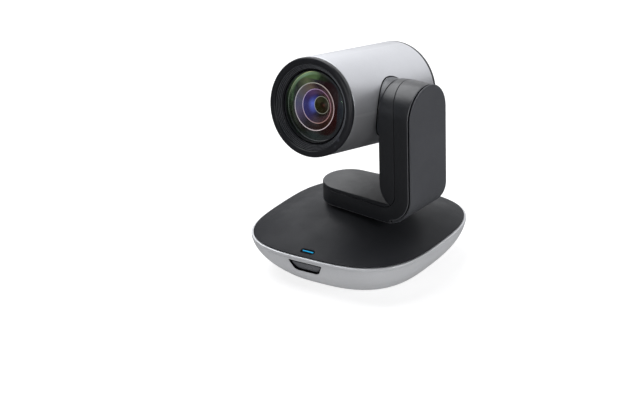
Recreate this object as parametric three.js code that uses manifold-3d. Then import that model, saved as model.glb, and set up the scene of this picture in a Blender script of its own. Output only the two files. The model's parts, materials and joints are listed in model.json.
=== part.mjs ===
// Pan-tilt-zoom conference camera: a domed base, a turning L-shaped arm and a tilting barrel
// with a zoom lens. Millimetres, +Z up, the lens looks towards -Y and the arm stands on the +X
// side. The origin is the centre of the footprint, on the surface that the camera stands on.
// The model is at rest with the arm panned by PAN_REST and the barrel tilted by TILT_REST.
import * as THREE from 'three';
import { mergeVertices } from 'three/addons/utils/BufferGeometryUtils.js';
import Module from 'manifold-3d';

const wasm = await Module();
wasm.setup();

// ---------------------------------------------------------------- driving dimensions
const GAP = 0.3;
const LOOSE = 0.5;
const FAR = 200;
const DEGREE = Math.PI / 180;
const PAN_REST = -4 * DEGREE;
const TILT_REST = -11 * DEGREE;

// Base: a rounded-square bowl under a shallow dome.
const BASE_HALF_X = 63.5;
const BASE_HALF_Y = 65;
const RIM_Z = 25.2;
const BOWL_BOTTOM_Z = 1.2;
const BOWL_BOTTOM_SCALE = 0.73;
const RIM_EXPONENT = 3.13;
const BOTTOM_EXPONENT = 2.7;
const CENTRE_EXPONENT = 2;
const BASE_WALL = 2.2;
const DOME_EDGE_SCALE = 0.98;
const DOME_RISE = 15.1;
const DOME_POWER = 2.2;
const DOME_HOLE_SCALE = 0.18;
const BASE_SEGMENTS = 36;
const ROUND_SEGMENTS = 20;
const SMALL_SEGMENTS = 10;
const CASING_SEGMENTS = 30;

// Arm: an L of a flat slab and a round-topped upright, hollow inside.
const ARM_OUTER_X = 56.1;
const ARM_INNER_X = 31.4;
const ARM_HALF_Y = 20.5;
const SLAB_BOTTOM_Z = 42.2;
const SLAB_TOP_Z = 55.3;
const SLAB_END_X = -7.3;
const SLAB_END_RADIUS = 17.6;
const ARM_WALL = 1.8;
const ARM_SIDE_WALL = 3.6;
const ARM_CORNER_RADIUS = 20;
const NOTCH_ARC_Z = 69;
const NOTCH_ARC_RADIUS = 17;
const SIDE_COVER_THICKNESS = 1.7;
const SIDE_COVER_WRAP = -78 * DEGREE;
const SEAM_X = 43.4;
const SEAM_Z = 52.8;
const SEAM_RADIUS = 10;
const TILT_Z = 114;

// Barrel, about its own axis: y is counted from the tilt axis, front negative.
const BARREL_X = -2.2;
const BARREL_RADIUS = 32.2;
const BARREL_WALL = 2;
const BARREL_FRONT_Y = -48.5;
const BARREL_REAR_Y = 49.2;
const BEZEL_BAND = 3.6;
const REAR_CAP_THICKNESS = 2.3;
const EDGE_CHAMFER = 1.5;
const HUB_RADIUS = 20.8;

// Pan and tilt drives.
const GEAR_PRESSURE_ANGLE = 25 * DEGREE;
const GEAR_ADDENDUM = 0.8;
const GEAR_DEDENDUM = 1.1;
const GEAR_BACKLASH = 0.2;
const PAN_MODULE = 1.5;
const PAN_GEAR_TEETH = 30;
const PAN_PINION_TEETH = 10;
const TILT_MODULE = 1.25;
const TILT_GEAR_TEETH = 24;
const TILT_PINION_TEETH = 10;
const PAN_SHAFT_RADIUS = 10;
const PAN_SHAFT_BORE = 7;
const TILT_SHAFT_RADIUS = 6;
const MOTOR_SHAFT_RADIUS = 1.5;
const PAN_CENTRES = PAN_MODULE * (PAN_GEAR_TEETH + PAN_PINION_TEETH) / 2;
const TILT_CENTRES = TILT_MODULE * (TILT_GEAR_TEETH + TILT_PINION_TEETH) / 2;

// ---------------------------------------------------------------- materials
const FINISHES = {
  silver: { color: 0xb9bbc0, roughness: 0.35, metalness: 0.7 },
  charcoal: { color: 0x2a2b2e, roughness: 0.5, metalness: 0 },
  coverGrey: { color: 0x3a3b3e, roughness: 0.45, metalness: 0 },
  rubber: { color: 0x191919, roughness: 0.9, metalness: 0 },
  steel: { color: 0x9a9da2, roughness: 0.35, metalness: 1 },
  brass: { color: 0xb08d4f, roughness: 0.35, metalness: 1 },
  nylon: { color: 0xd9d7cf, roughness: 0.6, metalness: 0 },
  board: { color: 0x1d5a35, roughness: 0.6, metalness: 0 },
  glass: { color: 0x8fa2b8, roughness: 0.05, metalness: 0 },
  lensBlack: { color: 0x101012, roughness: 0.6, metalness: 0 },
  blueLight: { color: 0x14a0d2, roughness: 0.3, metalness: 0 },
  flex: { color: 0xb86a1c, roughness: 0.5, metalness: 0 },
};

const camera = new THREE.Group();
const arm = new THREE.Group();
arm.rotation.z = PAN_REST;
const head = new THREE.Group();
head.position.z = TILT_Z;
head.rotation.x = TILT_REST;
arm.add(head);
camera.add(arm);

function add(group, name, geometry, finish) {
  const mesh = new THREE.Mesh(geometry, new THREE.MeshStandardMaterial(FINISHES[finish]));
  mesh.name = name;
  group.add(mesh);
}

// ---------------------------------------------------------------- geometry helpers
function solid(geometry) {
  const bare = geometry.clone();
  bare.deleteAttribute('normal');
  bare.deleteAttribute('uv');
  const merged = mergeVertices(bare, 1e-4);
  const corners = merged.index.array;
  const triangles = [];
  for (let i = 0; i < corners.length; i += 3) {
    const [a, b, c] = [corners[i], corners[i + 1], corners[i + 2]];
    if (a !== b && b !== c && c !== a) {
      triangles.push(a, b, c);
    }
  }
  return new wasm.Manifold(new wasm.Mesh({
    numProp: 3,
    vertProperties: new Float32Array(merged.attributes.position.array),
    triVerts: new Uint32Array(triangles),
  }));
}

function geometryOf(manifold) {
  const mesh = manifold.getMesh();
  const geometry = new THREE.BufferGeometry();
  geometry.setAttribute('position', new THREE.BufferAttribute(mesh.vertProperties, 3));
  geometry.setIndex(new THREE.BufferAttribute(mesh.triVerts, 1));
  geometry.computeVertexNormals();
  return geometry;
}

function cut(geometry, ...tools) {
  return geometryOf(tools.reduce((left, tool) => left.subtract(solid(tool)), solid(geometry)));
}

function join(geometry, ...others) {
  return geometryOf(others.reduce((whole, other) => whole.add(solid(other)), solid(geometry)));
}

function common(geometry, ...others) {
  return geometryOf(others.reduce((rest, other) => rest.intersect(solid(other)), solid(geometry)));
}

function block([x0, x1], [y0, y1], [z0, z1]) {
  const geometry = new THREE.BoxGeometry(x1 - x0, y1 - y0, z1 - z0);
  return geometry.translate((x0 + x1) / 2, (y0 + y1) / 2, (z0 + z1) / 2);
}

// A closed outline of [radius, height] points, turned about the Y axis.
function turned(profile, segments = ROUND_SEGMENTS) {
  let area = 0;
  profile.forEach(([x, y], i) => {
    const [nextX, nextY] = profile[(i + 1) % profile.length];
    area += x * nextY - nextX * y;
  });
  const ordered = area > 0 ? [...profile] : [...profile].reverse();
  const onAxis = ordered.findIndex(([x], i) => x === 0 && ordered.at(i - 1)[0] === 0);
  if (onAxis > 0) {
    ordered.push(...ordered.splice(0, onAxis));
  }
  if (onAxis < 0) {
    ordered.push(ordered[0]);
  }
  return new THREE.LatheGeometry(ordered.map(([x, y]) => new THREE.Vector2(x, y)), segments);
}

function turnedUp(profile, segments) {
  return turned(profile, segments).rotateX(Math.PI / 2);
}

function turnedAcross(profile, segments) {
  return turned(profile, segments).rotateZ(-Math.PI / 2);
}

function rod(radius, low, high) {
  return [[0, low], [radius, low], [radius, high], [0, high]];
}

function tube(outer, inner, low, high) {
  return [[inner, low], [outer, low], [outer, high], [inner, high]];
}

// Prisms: the outline is drawn in the plane named, and runs between two values of the third axis.
function prism(shape, low, high, curveSegments = 8) {
  const settings = { depth: high - low, bevelEnabled: false, curveSegments };
  return new THREE.ExtrudeGeometry(shape, settings).translate(0, 0, low);
}

function prismAlongX(shape, low, high, curveSegments) {
  const axes = new THREE.Matrix4().makeBasis(
    new THREE.Vector3(0, 1, 0), new THREE.Vector3(0, 0, 1), new THREE.Vector3(1, 0, 0));
  return prism(shape, low, high, curveSegments).applyMatrix4(axes);
}

function prismAlongY(shape, low, high, curveSegments) {
  return prism(shape, -high, -low, curveSegments).rotateX(Math.PI / 2);
}

function polygon(points) {
  return new THREE.Shape(points.map(([x, y]) => new THREE.Vector2(x, y)));
}

// Involute gear about the Z axis, with one tooth centred on the direction of phase.
function gear(teeth, module, bore, low, high, phase) {
  const pitch = teeth * module / 2;
  const base = pitch * Math.cos(GEAR_PRESSURE_ANGLE);
  const root = pitch - GEAR_DEDENDUM * module;
  const tip = pitch + GEAR_ADDENDUM * module;
  const involute = (angle) => Math.tan(angle) - angle;
  const halfTooth = (radius) => {
    const angle = Math.acos(Math.min(1, base / radius));
    const atPitch = Math.PI / (2 * teeth) - GEAR_BACKLASH / 2 / pitch;
    return atPitch + involute(GEAR_PRESSURE_ANGLE) - involute(angle);
  };
  const radii = [root, pitch, tip];
  const points = [];
  for (let tooth = 0; tooth < teeth; tooth += 1) {
    const centre = phase + tooth * 2 * Math.PI / teeth;
    const rising = radii.map((r) => [r, centre - halfTooth(r)]);
    const falling = radii.map((r) => [r, centre + halfTooth(r)]).reverse();
    points.push(...[...rising, ...falling].map(([r, a]) => [r * Math.cos(a), r * Math.sin(a)]));
  }
  const shape = polygon(points);
  if (bore > 0) {
    shape.holes.push(new THREE.Path().absarc(0, 0, bore, 0, 2 * Math.PI, true));
  }
  return prism(shape, low, high, SMALL_SEGMENTS);
}

// ---------------------------------------------------------------- base
function bowlScale(z) {
  return 1 - (1 - BOWL_BOTTOM_SCALE) * ((RIM_Z - z) / RIM_Z) ** 2;
}

// Turns [scale, z] points into a rounded-square form: scale 1 is the rim's own outline.
function squareTurned(profile, exponentAt) {
  const geometry = turnedUp(profile, BASE_SEGMENTS);
  const position = geometry.attributes.position;
  for (let i = 0; i < position.count; i += 1) {
    const [x, y, z] = [position.getX(i), position.getY(i), position.getZ(i)];
    const scale = Math.hypot(x, y);
    const angle = Math.atan2(y, x);
    const power = 2 / exponentAt(scale, z);
    const spread = (value) => Math.sign(value) * Math.abs(value) ** power;
    position.setX(i, BASE_HALF_X * scale * spread(Math.cos(angle)));
    position.setY(i, BASE_HALF_Y * scale * spread(Math.sin(angle)));
  }
  return geometry;
}

const bowlExponent = (scale, z) => (
  BOTTOM_EXPONENT + (RIM_EXPONENT - BOTTOM_EXPONENT) * Math.max(0, z) / RIM_Z);
const domeExponent = (scale) => CENTRE_EXPONENT + (RIM_EXPONENT - CENTRE_EXPONENT) * scale;
const BOWL_LEVELS = [BOWL_BOTTOM_Z, 5, 9.5, 14, 19.5, RIM_Z];

// The bowl's wall between two depths below its outer surface.
function bowlLayer(outerDepth, innerDepth) {
  const row = (depth) => BOWL_LEVELS.map((z) => [bowlScale(z) - depth / BASE_HALF_Y, z]);
  return squareTurned([...row(outerDepth), ...row(innerDepth).reverse()], bowlExponent);
}

function bowlCore(depth) {
  const row = BOWL_LEVELS.map((z) => [bowlScale(z) - depth / BASE_HALF_Y, z]);
  return squareTurned([[0, BOWL_BOTTOM_Z], ...row, [0, RIM_Z]], bowlExponent);
}

const WINDOW_X = -1.9;
const WINDOW_TOP_Z = 22.3;
const WINDOW_BOTTOM_Z = 14.2;
const WINDOW_TOP_HALF = 13;
const WINDOW_BOTTOM_HALF = 9;
const WINDOW_RECESS = 1;
const WINDOW_THICKNESS = 1.6;

function windowPrism(inset) {
  const top = WINDOW_TOP_HALF - inset;
  const bottom = WINDOW_BOTTOM_HALF - inset;
  return prismAlongY(polygon([
    [WINDOW_X - bottom, WINDOW_BOTTOM_Z + inset],
    [WINDOW_X + bottom, WINDOW_BOTTOM_Z + inset],
    [WINDOW_X + top, WINDOW_TOP_Z - inset],
    [WINDOW_X - top, WINDOW_TOP_Z - inset],
  ]), -FAR, 0);
}

const POCKET_HALF_X = 22;
const POCKET_LOW_Z = 8.2;
const POCKET_HIGH_Z = 19.5;
const PANEL_FACE_Y = 49.5;
const PANEL_BACK_Y = 47;
const PANEL_RIM = 1.7;
const USB_X = [-14, -2];
const JACK_X = [4, 13];
const SOCKET_Z = [8.6, 19.1];
const SOCKET_DEPTH = 13;
const LOCK_SLOT_X = 18;
const LOCK_SLOT = [3, 7];

add(camera, 'base_shell', cut(
  bowlLayer(0, BASE_WALL),
  windowPrism(0),
  block([-POCKET_HALF_X, POCKET_HALF_X], [0, FAR], [POCKET_LOW_Z, POCKET_HIGH_Z]),
), 'silver');

const DOME_EDGE_Z = RIM_Z + GAP;
const domeZ = (scale) => DOME_EDGE_Z + DOME_RISE * (1 - scale ** DOME_POWER);
const DOME_SCALES = [DOME_EDGE_SCALE, 0.88, 0.72, 0.54, 0.36, DOME_HOLE_SCALE];
const LIGHT_SLOT_X = [-7.8, 2.6];
const LIGHT_SLOT_Y = [-61.4, -57.8];
add(camera, 'base_top_cover', cut(
  squareTurned([
    [DOME_EDGE_SCALE, DOME_EDGE_Z],
    ...DOME_SCALES.map((scale) => [scale, domeZ(scale)]),
    ...DOME_SCALES.slice(1).reverse().map((scale) => [scale, domeZ(scale) - BASE_WALL]),
    [DOME_EDGE_SCALE - BASE_WALL / BASE_HALF_Y, DOME_EDGE_Z],
  ], domeExponent),
  block(LIGHT_SLOT_X, LIGHT_SLOT_Y, [0, FAR]),
), 'charcoal');

const PLATE_TOP_Z = 3.5;
const SCREW_SPOTS = [[24, 30], [-24, 30], [-24, -30], [24, -30]];
const FOOT_SPOTS = [[34, 22], [-34, 22], [-34, -22], [34, -22]];
const SCREW_SEAT_Z = 2.6;
const SCREW_HEAD_RADIUS = 3;
const SCREW_HEAD_Z = [1.4, 2.3];
const SCREW_SHANK_RADIUS = 1.5;
const SCREW_TIP_Z = 11;
const CROSS_RADIUS = 1.6;
const CROSS_HALF_WIDTH = 0.35;
const CROSS_FLOOR_Z = 2;
const FOOT_RADIUS = 5;
const FOOT_CHAMFER = 0.4;
const FOOT_TOP_Z = BOWL_BOTTOM_Z - 0.05;
const INSERT_RADIUS = 6;
const INSERT_NECK_RADIUS = 5;
const INSERT_FLANGE_RADIUS = 8;
const THREAD_RADIUS = 3.1;
const INSERT_BOTTOM_Z = 1;
const INSERT_FLANGE_Z = [PLATE_TOP_Z + GAP, 5.2];
const INSERT_TOP_Z = 7.2;
const plateScale = bowlScale(BOWL_BOTTOM_Z) - (BASE_WALL + GAP) / BASE_HALF_X;
const at = (geometry, [x, y]) => geometry.translate(x, y, 0);
add(camera, 'bottom_plate', cut(
  squareTurned([
    [0, BOWL_BOTTOM_Z],
    [plateScale, BOWL_BOTTOM_Z],
    [plateScale, PLATE_TOP_Z],
    [0, PLATE_TOP_Z],
  ], bowlExponent),
  turnedUp(rod(INSERT_RADIUS + GAP, 0, FAR)),
  ...SCREW_SPOTS.map((spot) => at(
    turnedUp(rod(SCREW_HEAD_RADIUS + GAP, 0, SCREW_SEAT_Z), SMALL_SEGMENTS), spot)),
  ...SCREW_SPOTS.map((spot) => at(
    turnedUp(rod(SCREW_SHANK_RADIUS + GAP, 0, FAR), SMALL_SEGMENTS), spot)),
), 'charcoal');
FOOT_SPOTS.forEach((spot, i) => {
  add(camera, `foot_pad_${i + 1}`, at(turnedUp([
    [0, 0], [FOOT_RADIUS - FOOT_CHAMFER, 0], [FOOT_RADIUS, FOOT_CHAMFER],
    [FOOT_RADIUS, FOOT_TOP_Z], [0, FOOT_TOP_Z],
  ]), spot), 'rubber');
});
SCREW_SPOTS.forEach((spot, i) => {
  const length = [-CROSS_RADIUS, CROSS_RADIUS];
  const width = [-CROSS_HALF_WIDTH, CROSS_HALF_WIDTH];
  const depth = [0, CROSS_FLOOR_Z];
  const [low, high] = SCREW_HEAD_Z;
  add(camera, `base_screw_${i + 1}`, at(cut(turnedUp([
    [0, low], [SCREW_HEAD_RADIUS, low], [SCREW_HEAD_RADIUS, high],
    [SCREW_SHANK_RADIUS, high], [SCREW_SHANK_RADIUS, SCREW_TIP_Z], [0, SCREW_TIP_Z],
  ], SMALL_SEGMENTS), block(length, width, depth), block(width, length, depth)), spot), 'steel');
});
add(camera, 'tripod_insert', turnedUp([
  [THREAD_RADIUS, INSERT_BOTTOM_Z], [INSERT_RADIUS, INSERT_BOTTOM_Z],
  [INSERT_RADIUS, INSERT_FLANGE_Z[0]], [INSERT_FLANGE_RADIUS, INSERT_FLANGE_Z[0]],
  [INSERT_FLANGE_RADIUS, INSERT_FLANGE_Z[1]], [INSERT_NECK_RADIUS, INSERT_TOP_Z],
  [THREAD_RADIUS, INSERT_TOP_Z],
]), 'brass');

// The chassis carries the pan bearing on four columns that the base screws pull down on.
const CHASSIS_Z = [27.5, 29.5];
const CHASSIS_HALF_X = 28;
const CHASSIS_HALF_Y = 34;
const COLUMN_RADIUS = 3.4;
const COLUMN_BORE_TOP_Z = 12;
const BUSH_FLANGE_RADIUS = 16;
const BUSH_FLANGE_TOP_Z = 31.5;
const BUSH_SLEEVE_RADIUS = 13;
const BUSH_SLEEVE_TOP_Z = 37.6;
const columns = SCREW_SPOTS.map((spot) => at(
  turnedUp(rod(COLUMN_RADIUS, PLATE_TOP_Z + GAP, CHASSIS_Z[1]), SMALL_SEGMENTS), spot));
const columnBores = SCREW_SPOTS.map((spot) => at(
  turnedUp(rod(SCREW_SHANK_RADIUS + GAP, 0, COLUMN_BORE_TOP_Z), SMALL_SEGMENTS), spot));
add(camera, 'chassis_plate', cut(
  join(block([-CHASSIS_HALF_X, CHASSIS_HALF_X], [-CHASSIS_HALF_Y, CHASSIS_HALF_Y], CHASSIS_Z),
    ...columns),
  turnedUp(rod(PAN_SHAFT_RADIUS + LOOSE, 0, FAR)),
  ...columnBores,
), 'steel');
add(camera, 'pan_bush', turnedUp([
  [PAN_SHAFT_RADIUS + GAP, CHASSIS_Z[1] + GAP],
  [BUSH_FLANGE_RADIUS, CHASSIS_Z[1] + GAP],
  [BUSH_FLANGE_RADIUS, BUSH_FLANGE_TOP_Z],
  [BUSH_SLEEVE_RADIUS, BUSH_FLANGE_TOP_Z],
  [BUSH_SLEEVE_RADIUS, BUSH_SLEEVE_TOP_Z],
  [PAN_SHAFT_RADIUS + GAP, BUSH_SLEEVE_TOP_Z],
]), 'nylon');

const PAN_GEAR_Z = [20.4, 25];
const PAN_MOTOR_Z = [3.8, 18];
const PAN_MOTOR_RADIUS = 9.5;
const PAN_MOTOR_FACE_Z = 16.5;
const MOTOR_BOSS_RADIUS = 3;
const PINION_SHAFT_OVERHANG = 0.8;
add(camera, 'pan_motor_body', turnedUp([
  [0, PAN_MOTOR_Z[0]], [PAN_MOTOR_RADIUS, PAN_MOTOR_Z[0]], [PAN_MOTOR_RADIUS, PAN_MOTOR_FACE_Z],
  [MOTOR_BOSS_RADIUS, PAN_MOTOR_FACE_Z], [MOTOR_BOSS_RADIUS, PAN_MOTOR_Z[1]], [0, PAN_MOTOR_Z[1]],
]).translate(0, -PAN_CENTRES, 0), 'steel');
add(camera, 'pan_pinion', join(
  gear(PAN_PINION_TEETH, PAN_MODULE, 0, ...PAN_GEAR_Z, Math.PI / 2),
  turnedUp(rod(MOTOR_SHAFT_RADIUS, PAN_MOTOR_Z[1] + GAP, PAN_GEAR_Z[1] + PINION_SHAFT_OVERHANG),
    SMALL_SEGMENTS),
).translate(0, -PAN_CENTRES, 0), 'brass');
const BOARD_X = [-20, 20];
const BOARD_Y = [-18, 35];
const BOARD_Z = [8, 9.6];
const SINK_X = [-16, 0];
const SINK_Y = 4;
const SINK_BASE_Z = [BOARD_Z[1] + GAP, 11.4];
const FIN_COUNT = 5;
const FIN_PITCH = 3.5;
const FIN_THICKNESS = 1.2;
const FIN_TOP_Z = 15.5;
const heatFins = [];
for (let fin = 0; fin < FIN_COUNT; fin += 1) {
  const y = SINK_Y + fin * FIN_PITCH;
  heatFins.push(block(SINK_X, [y, y + FIN_THICKNESS], [SINK_BASE_Z[0], FIN_TOP_Z]));
}
const sinkY = [SINK_Y, SINK_Y + (FIN_COUNT - 1) * FIN_PITCH + FIN_THICKNESS];
add(camera, 'main_board', block(BOARD_X, BOARD_Y, BOARD_Z), 'board');
add(camera, 'heat_sink', join(block(SINK_X, sinkY, SINK_BASE_Z), ...heatFins), 'steel');

// The rear pocket's lining carries the sockets and the lock slot.
const panelX = [-POCKET_HALF_X - PANEL_RIM, POCKET_HALF_X + PANEL_RIM];
const panelZ = [POCKET_LOW_Z - PANEL_RIM, POCKET_HIGH_Z + PANEL_RIM];
const SOCKET_MID_Z = (SOCKET_Z[0] + SOCKET_Z[1]) / 2;
const SOCKET_FACE_Y = PANEL_FACE_Y + 0.2;
const SOCKET_CAVITY_DEPTH = 10;
const MOUTH_DEPTH = 5;
const USB_WALL_X = 1.7;
const USB_WALL_Z = 1.3;
const TONGUE_MARGIN_X = 3.2;
const TONGUE_MARGIN_Z = 3.7;
const JACK_BORE = 3.2;
const JACK_PIN_RADIUS = 0.9;
const shrunk = ([low, high], by) => [low + by, high - by];
const around = (middle, width) => [middle - width / 2, middle + width / 2];
add(camera, 'rear_io_panel', cut(
  common(block(panelX, [PANEL_BACK_Y, FAR], panelZ), bowlCore(BASE_WALL + GAP)),
  block([-POCKET_HALF_X + GAP, POCKET_HALF_X - GAP], [PANEL_FACE_Y, FAR],
    [POCKET_LOW_Z + GAP, POCKET_HIGH_Z - GAP]),
  block(shrunk(USB_X, -GAP), [0, FAR], shrunk(SOCKET_Z, -GAP)),
  block(shrunk(JACK_X, -GAP), [0, FAR], shrunk(SOCKET_Z, -GAP)),
  block(around(LOCK_SLOT_X, LOCK_SLOT[0]), [0, FAR], around(SOCKET_MID_Z, LOCK_SLOT[1])),
), 'charcoal');
const socketY = [SOCKET_FACE_Y - SOCKET_DEPTH, SOCKET_FACE_Y];
const cavityY = [SOCKET_FACE_Y - SOCKET_CAVITY_DEPTH, FAR];
const contactY = [SOCKET_FACE_Y - SOCKET_CAVITY_DEPTH - 1, SOCKET_FACE_Y - MOUTH_DEPTH];
add(camera, 'usb_socket', join(
  cut(block(USB_X, socketY, SOCKET_Z),
    block(shrunk(USB_X, USB_WALL_X), cavityY, shrunk(SOCKET_Z, USB_WALL_Z))),
  block(shrunk(USB_X, TONGUE_MARGIN_X), contactY, shrunk(SOCKET_Z, TONGUE_MARGIN_Z)),
), 'steel');
const jackCentre = [(JACK_X[0] + JACK_X[1]) / 2, 0, SOCKET_MID_Z];
add(camera, 'power_jack', join(
  cut(block(JACK_X, socketY, SOCKET_Z),
    turned(rod(JACK_BORE, ...cavityY)).translate(...jackCentre)),
  turned(rod(JACK_PIN_RADIUS, ...contactY), SMALL_SEGMENTS).translate(...jackCentre),
), 'lensBlack');

const RECEIVER_WIDTH = 6;
const RECEIVER_Y = [-58, -54];
const RECEIVER_Z = [15, 21];
const PIPE_MARGIN = 0.4;
const PIPE_Z = [24, 27.2];
const LED_BOARD_Y = [-61.6, -57];
const LED_BOARD_Z = [21.4, 22.4];
const LED_SIZE = [4, 2];
const LED_TOP_Z = 23.6;
const middleOf = ([low, high]) => (low + high) / 2;
add(camera, 'ir_window', common(
  bowlLayer(WINDOW_RECESS, WINDOW_RECESS + WINDOW_THICKNESS), windowPrism(GAP)), 'lensBlack');
add(camera, 'ir_receiver', block(around(WINDOW_X, RECEIVER_WIDTH), RECEIVER_Y, RECEIVER_Z), 'lensBlack');
add(camera, 'status_light_pipe', block(
  shrunk(LIGHT_SLOT_X, PIPE_MARGIN), shrunk(LIGHT_SLOT_Y, PIPE_MARGIN), PIPE_Z), 'blueLight');
add(camera, 'status_led', join(
  block(LIGHT_SLOT_X, LED_BOARD_Y, LED_BOARD_Z),
  block(around(middleOf(LIGHT_SLOT_X), LED_SIZE[0]), around(middleOf(LIGHT_SLOT_Y), LED_SIZE[1]),
    [LED_BOARD_Z[0], LED_TOP_Z]),
), 'board');

// ---------------------------------------------------------------- pan drive on the arm
add(camera, 'pan_gear', gear(PAN_GEAR_TEETH, PAN_MODULE, PAN_SHAFT_RADIUS + GAP, ...PAN_GEAR_Z,
  -Math.PI / 2 + Math.PI / PAN_GEAR_TEETH), 'nylon');
const FLANGE_Z = [44.3, 46.9];
const FLANGE_RADIUS = 15;
const SHAFT_FOOT_Z = 20;
const ARM_SCREW_Y = 11.5;
const ARM_SCREW_RADIUS = 1.2;
const ARM_SCREW_HEAD_RADIUS = 2.4;
const ARM_SCREW_HEAD_HEIGHT = 1.4;
const RING_RADIUS = 13;
const RING_Z = [25.6, 26.9];
const RING_HALF_OPENING = 20 * DEGREE;
const armScrewBores = [-1, 1].map((side) => at(
  turnedUp(rod(ARM_SCREW_RADIUS + GAP, 0, FAR), SMALL_SEGMENTS), [0, side * ARM_SCREW_Y]));
add(arm, 'pan_shaft', cut(turnedUp([
  [PAN_SHAFT_BORE, SHAFT_FOOT_Z], [PAN_SHAFT_RADIUS, SHAFT_FOOT_Z],
  [PAN_SHAFT_RADIUS, FLANGE_Z[0]], [FLANGE_RADIUS, FLANGE_Z[0]],
  [FLANGE_RADIUS, FLANGE_Z[1]], [PAN_SHAFT_BORE, FLANGE_Z[1]],
]), ...armScrewBores), 'steel');
const clip = new THREE.Shape();
const ringEnd = 2 * Math.PI - RING_HALF_OPENING;
clip.absarc(0, 0, RING_RADIUS, RING_HALF_OPENING, ringEnd, false);
clip.absarc(0, 0, PAN_SHAFT_RADIUS + GAP, ringEnd, RING_HALF_OPENING, true);
add(arm, 'pan_retainer_ring', prism(clip, ...RING_Z), 'steel');

// ---------------------------------------------------------------- arm shells
// The upright's foot sweeps outwards in an arc that meets the slab's lid in a notch.
const notchCentreX = ARM_INNER_X + NOTCH_ARC_RADIUS;
const notchRise = NOTCH_ARC_Z - SLAB_TOP_Z;
const notchX = notchCentreX - Math.sqrt(NOTCH_ARC_RADIUS ** 2 - notchRise ** 2);
const cornerCentreX = ARM_OUTER_X - ARM_CORNER_RADIUS;
const cornerCentreZ = SLAB_BOTTOM_Z + ARM_CORNER_RADIUS;

// The L seen from the front, drawn in X and Z, moved inwards by inset on the open sides.
function armProfile(inset, cornerRadius) {
  const outerX = cornerCentreX + cornerRadius;
  const floorZ = SLAB_BOTTOM_Z + inset;
  const notchRadius = NOTCH_ARC_RADIUS - inset;
  const notchSweep = Math.acos((notchCentreX - notchX - inset) / notchRadius);
  const shape = new THREE.Shape();
  shape.moveTo(-FAR, floorZ);
  shape.lineTo(cornerCentreX - cornerRadius / 2, floorZ);
  shape.absarc(cornerCentreX, cornerCentreZ, cornerRadius, -Math.PI / 2, 0, false);
  shape.lineTo(outerX, FAR);
  shape.lineTo(ARM_INNER_X + inset, FAR);
  shape.absarc(notchCentreX, NOTCH_ARC_Z, notchRadius, Math.PI, Math.PI + notchSweep, false);
  shape.lineTo(notchX + inset, SLAB_TOP_Z - inset);
  shape.lineTo(-FAR, SLAB_TOP_Z - inset);
  return shape;
}

function armPlan(inset) {
  const shape = new THREE.Shape();
  const radius = SLAB_END_RADIUS - inset;
  shape.absarc(SLAB_END_X, 0, radius, Math.PI / 2, 3 * Math.PI / 2, false);
  shape.lineTo(ARM_INNER_X, -ARM_HALF_Y + inset);
  shape.lineTo(FAR, -ARM_HALF_Y + inset);
  shape.lineTo(FAR, ARM_HALF_Y - inset);
  shape.lineTo(ARM_INNER_X, ARM_HALF_Y - inset);
  return shape;
}

function armSide(inset) {
  const shape = new THREE.Shape();
  const radius = ARM_HALF_Y - inset;
  shape.moveTo(-radius, 0);
  shape.lineTo(radius, 0);
  shape.absarc(0, TILT_Z, radius, 0, Math.PI, false);
  return shape;
}

function armBody(inset, cornerRadius) {
  return common(
    prismAlongY(armProfile(inset, cornerRadius), -FAR, FAR, 8),
    prism(armPlan(inset), 0, FAR, 10),
    prismAlongX(armSide(inset), -FAR, FAR, 10),
  );
}

// Everything on the inner side of the seam, or on its outer side, moved off it by offset.
function seamRegion(side, offset) {
  const x = SEAM_X + side * offset;
  const z = SEAM_Z - side * offset;
  const radius = SEAM_RADIUS + side * offset;
  const shape = new THREE.Shape();
  shape.moveTo(x, FAR);
  shape.lineTo(x, z + radius);
  shape.absarc(x - radius, z + radius, radius, 0, -Math.PI / 2, true);
  shape.lineTo(-FAR, z);
  if (side < 0) {
    shape.lineTo(-FAR, FAR);
  } else {
    shape.lineTo(-FAR, 0);
    shape.lineTo(FAR, 0);
    shape.lineTo(FAR, FAR);
  }
  return prismAlongY(shape, -FAR, FAR, 8);
}

// The strip that the side cover fills, wrapped part of the way round the outer corner.
function coverRegion(grow) {
  const wrap = SIDE_COVER_WRAP - grow / ARM_CORNER_RADIUS;
  const radius = ARM_CORNER_RADIUS - SIDE_COVER_THICKNESS - grow;
  const reach = 2 * ARM_CORNER_RADIUS;
  const shape = new THREE.Shape();
  shape.moveTo(FAR, FAR);
  shape.lineTo(cornerCentreX + radius, FAR);
  shape.absarc(cornerCentreX, cornerCentreZ, radius, 0, wrap, true);
  shape.lineTo(cornerCentreX + reach * Math.cos(wrap), cornerCentreZ + reach * Math.sin(wrap));
  shape.lineTo(FAR, 0);
  return prismAlongY(shape, -FAR, FAR, 8);
}

const armOuter = armBody(0, ARM_CORNER_RADIUS);
const armHollow = armBody(ARM_WALL, ARM_CORNER_RADIUS - ARM_SIDE_WALL);
const armWalls = cut(armOuter, armHollow);
const hollowY = [-ARM_HALF_Y + ARM_WALL, ARM_HALF_Y - ARM_WALL];
const SHAFT_HOLE_TOP_Z = SLAB_BOTTOM_Z + 2 * ARM_WALL;
const innerWallX = [0, ARM_INNER_X + 2 * ARM_WALL];
add(arm, 'arm_inner_shell', cut(
  common(armWalls, seamRegion(-1, GAP / 2)),
  turnedAcross(rod(TILT_SHAFT_RADIUS + 2, ...innerWallX)).translate(0, 0, TILT_Z),
), 'charcoal');
add(arm, 'arm_outer_shell', cut(
  common(armWalls, seamRegion(1, GAP / 2)),
  coverRegion(GAP),
  block([SEAM_X - SEAM_RADIUS, notchX + 2 * ARM_WALL], hollowY, [SEAM_Z, NOTCH_ARC_Z]),
  turnedUp(rod(PAN_SHAFT_RADIUS + LOOSE, 0, SHAFT_HOLE_TOP_Z)),
), 'charcoal');
add(arm, 'arm_side_cover', common(armOuter, coverRegion(0)), 'coverGrey');

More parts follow.
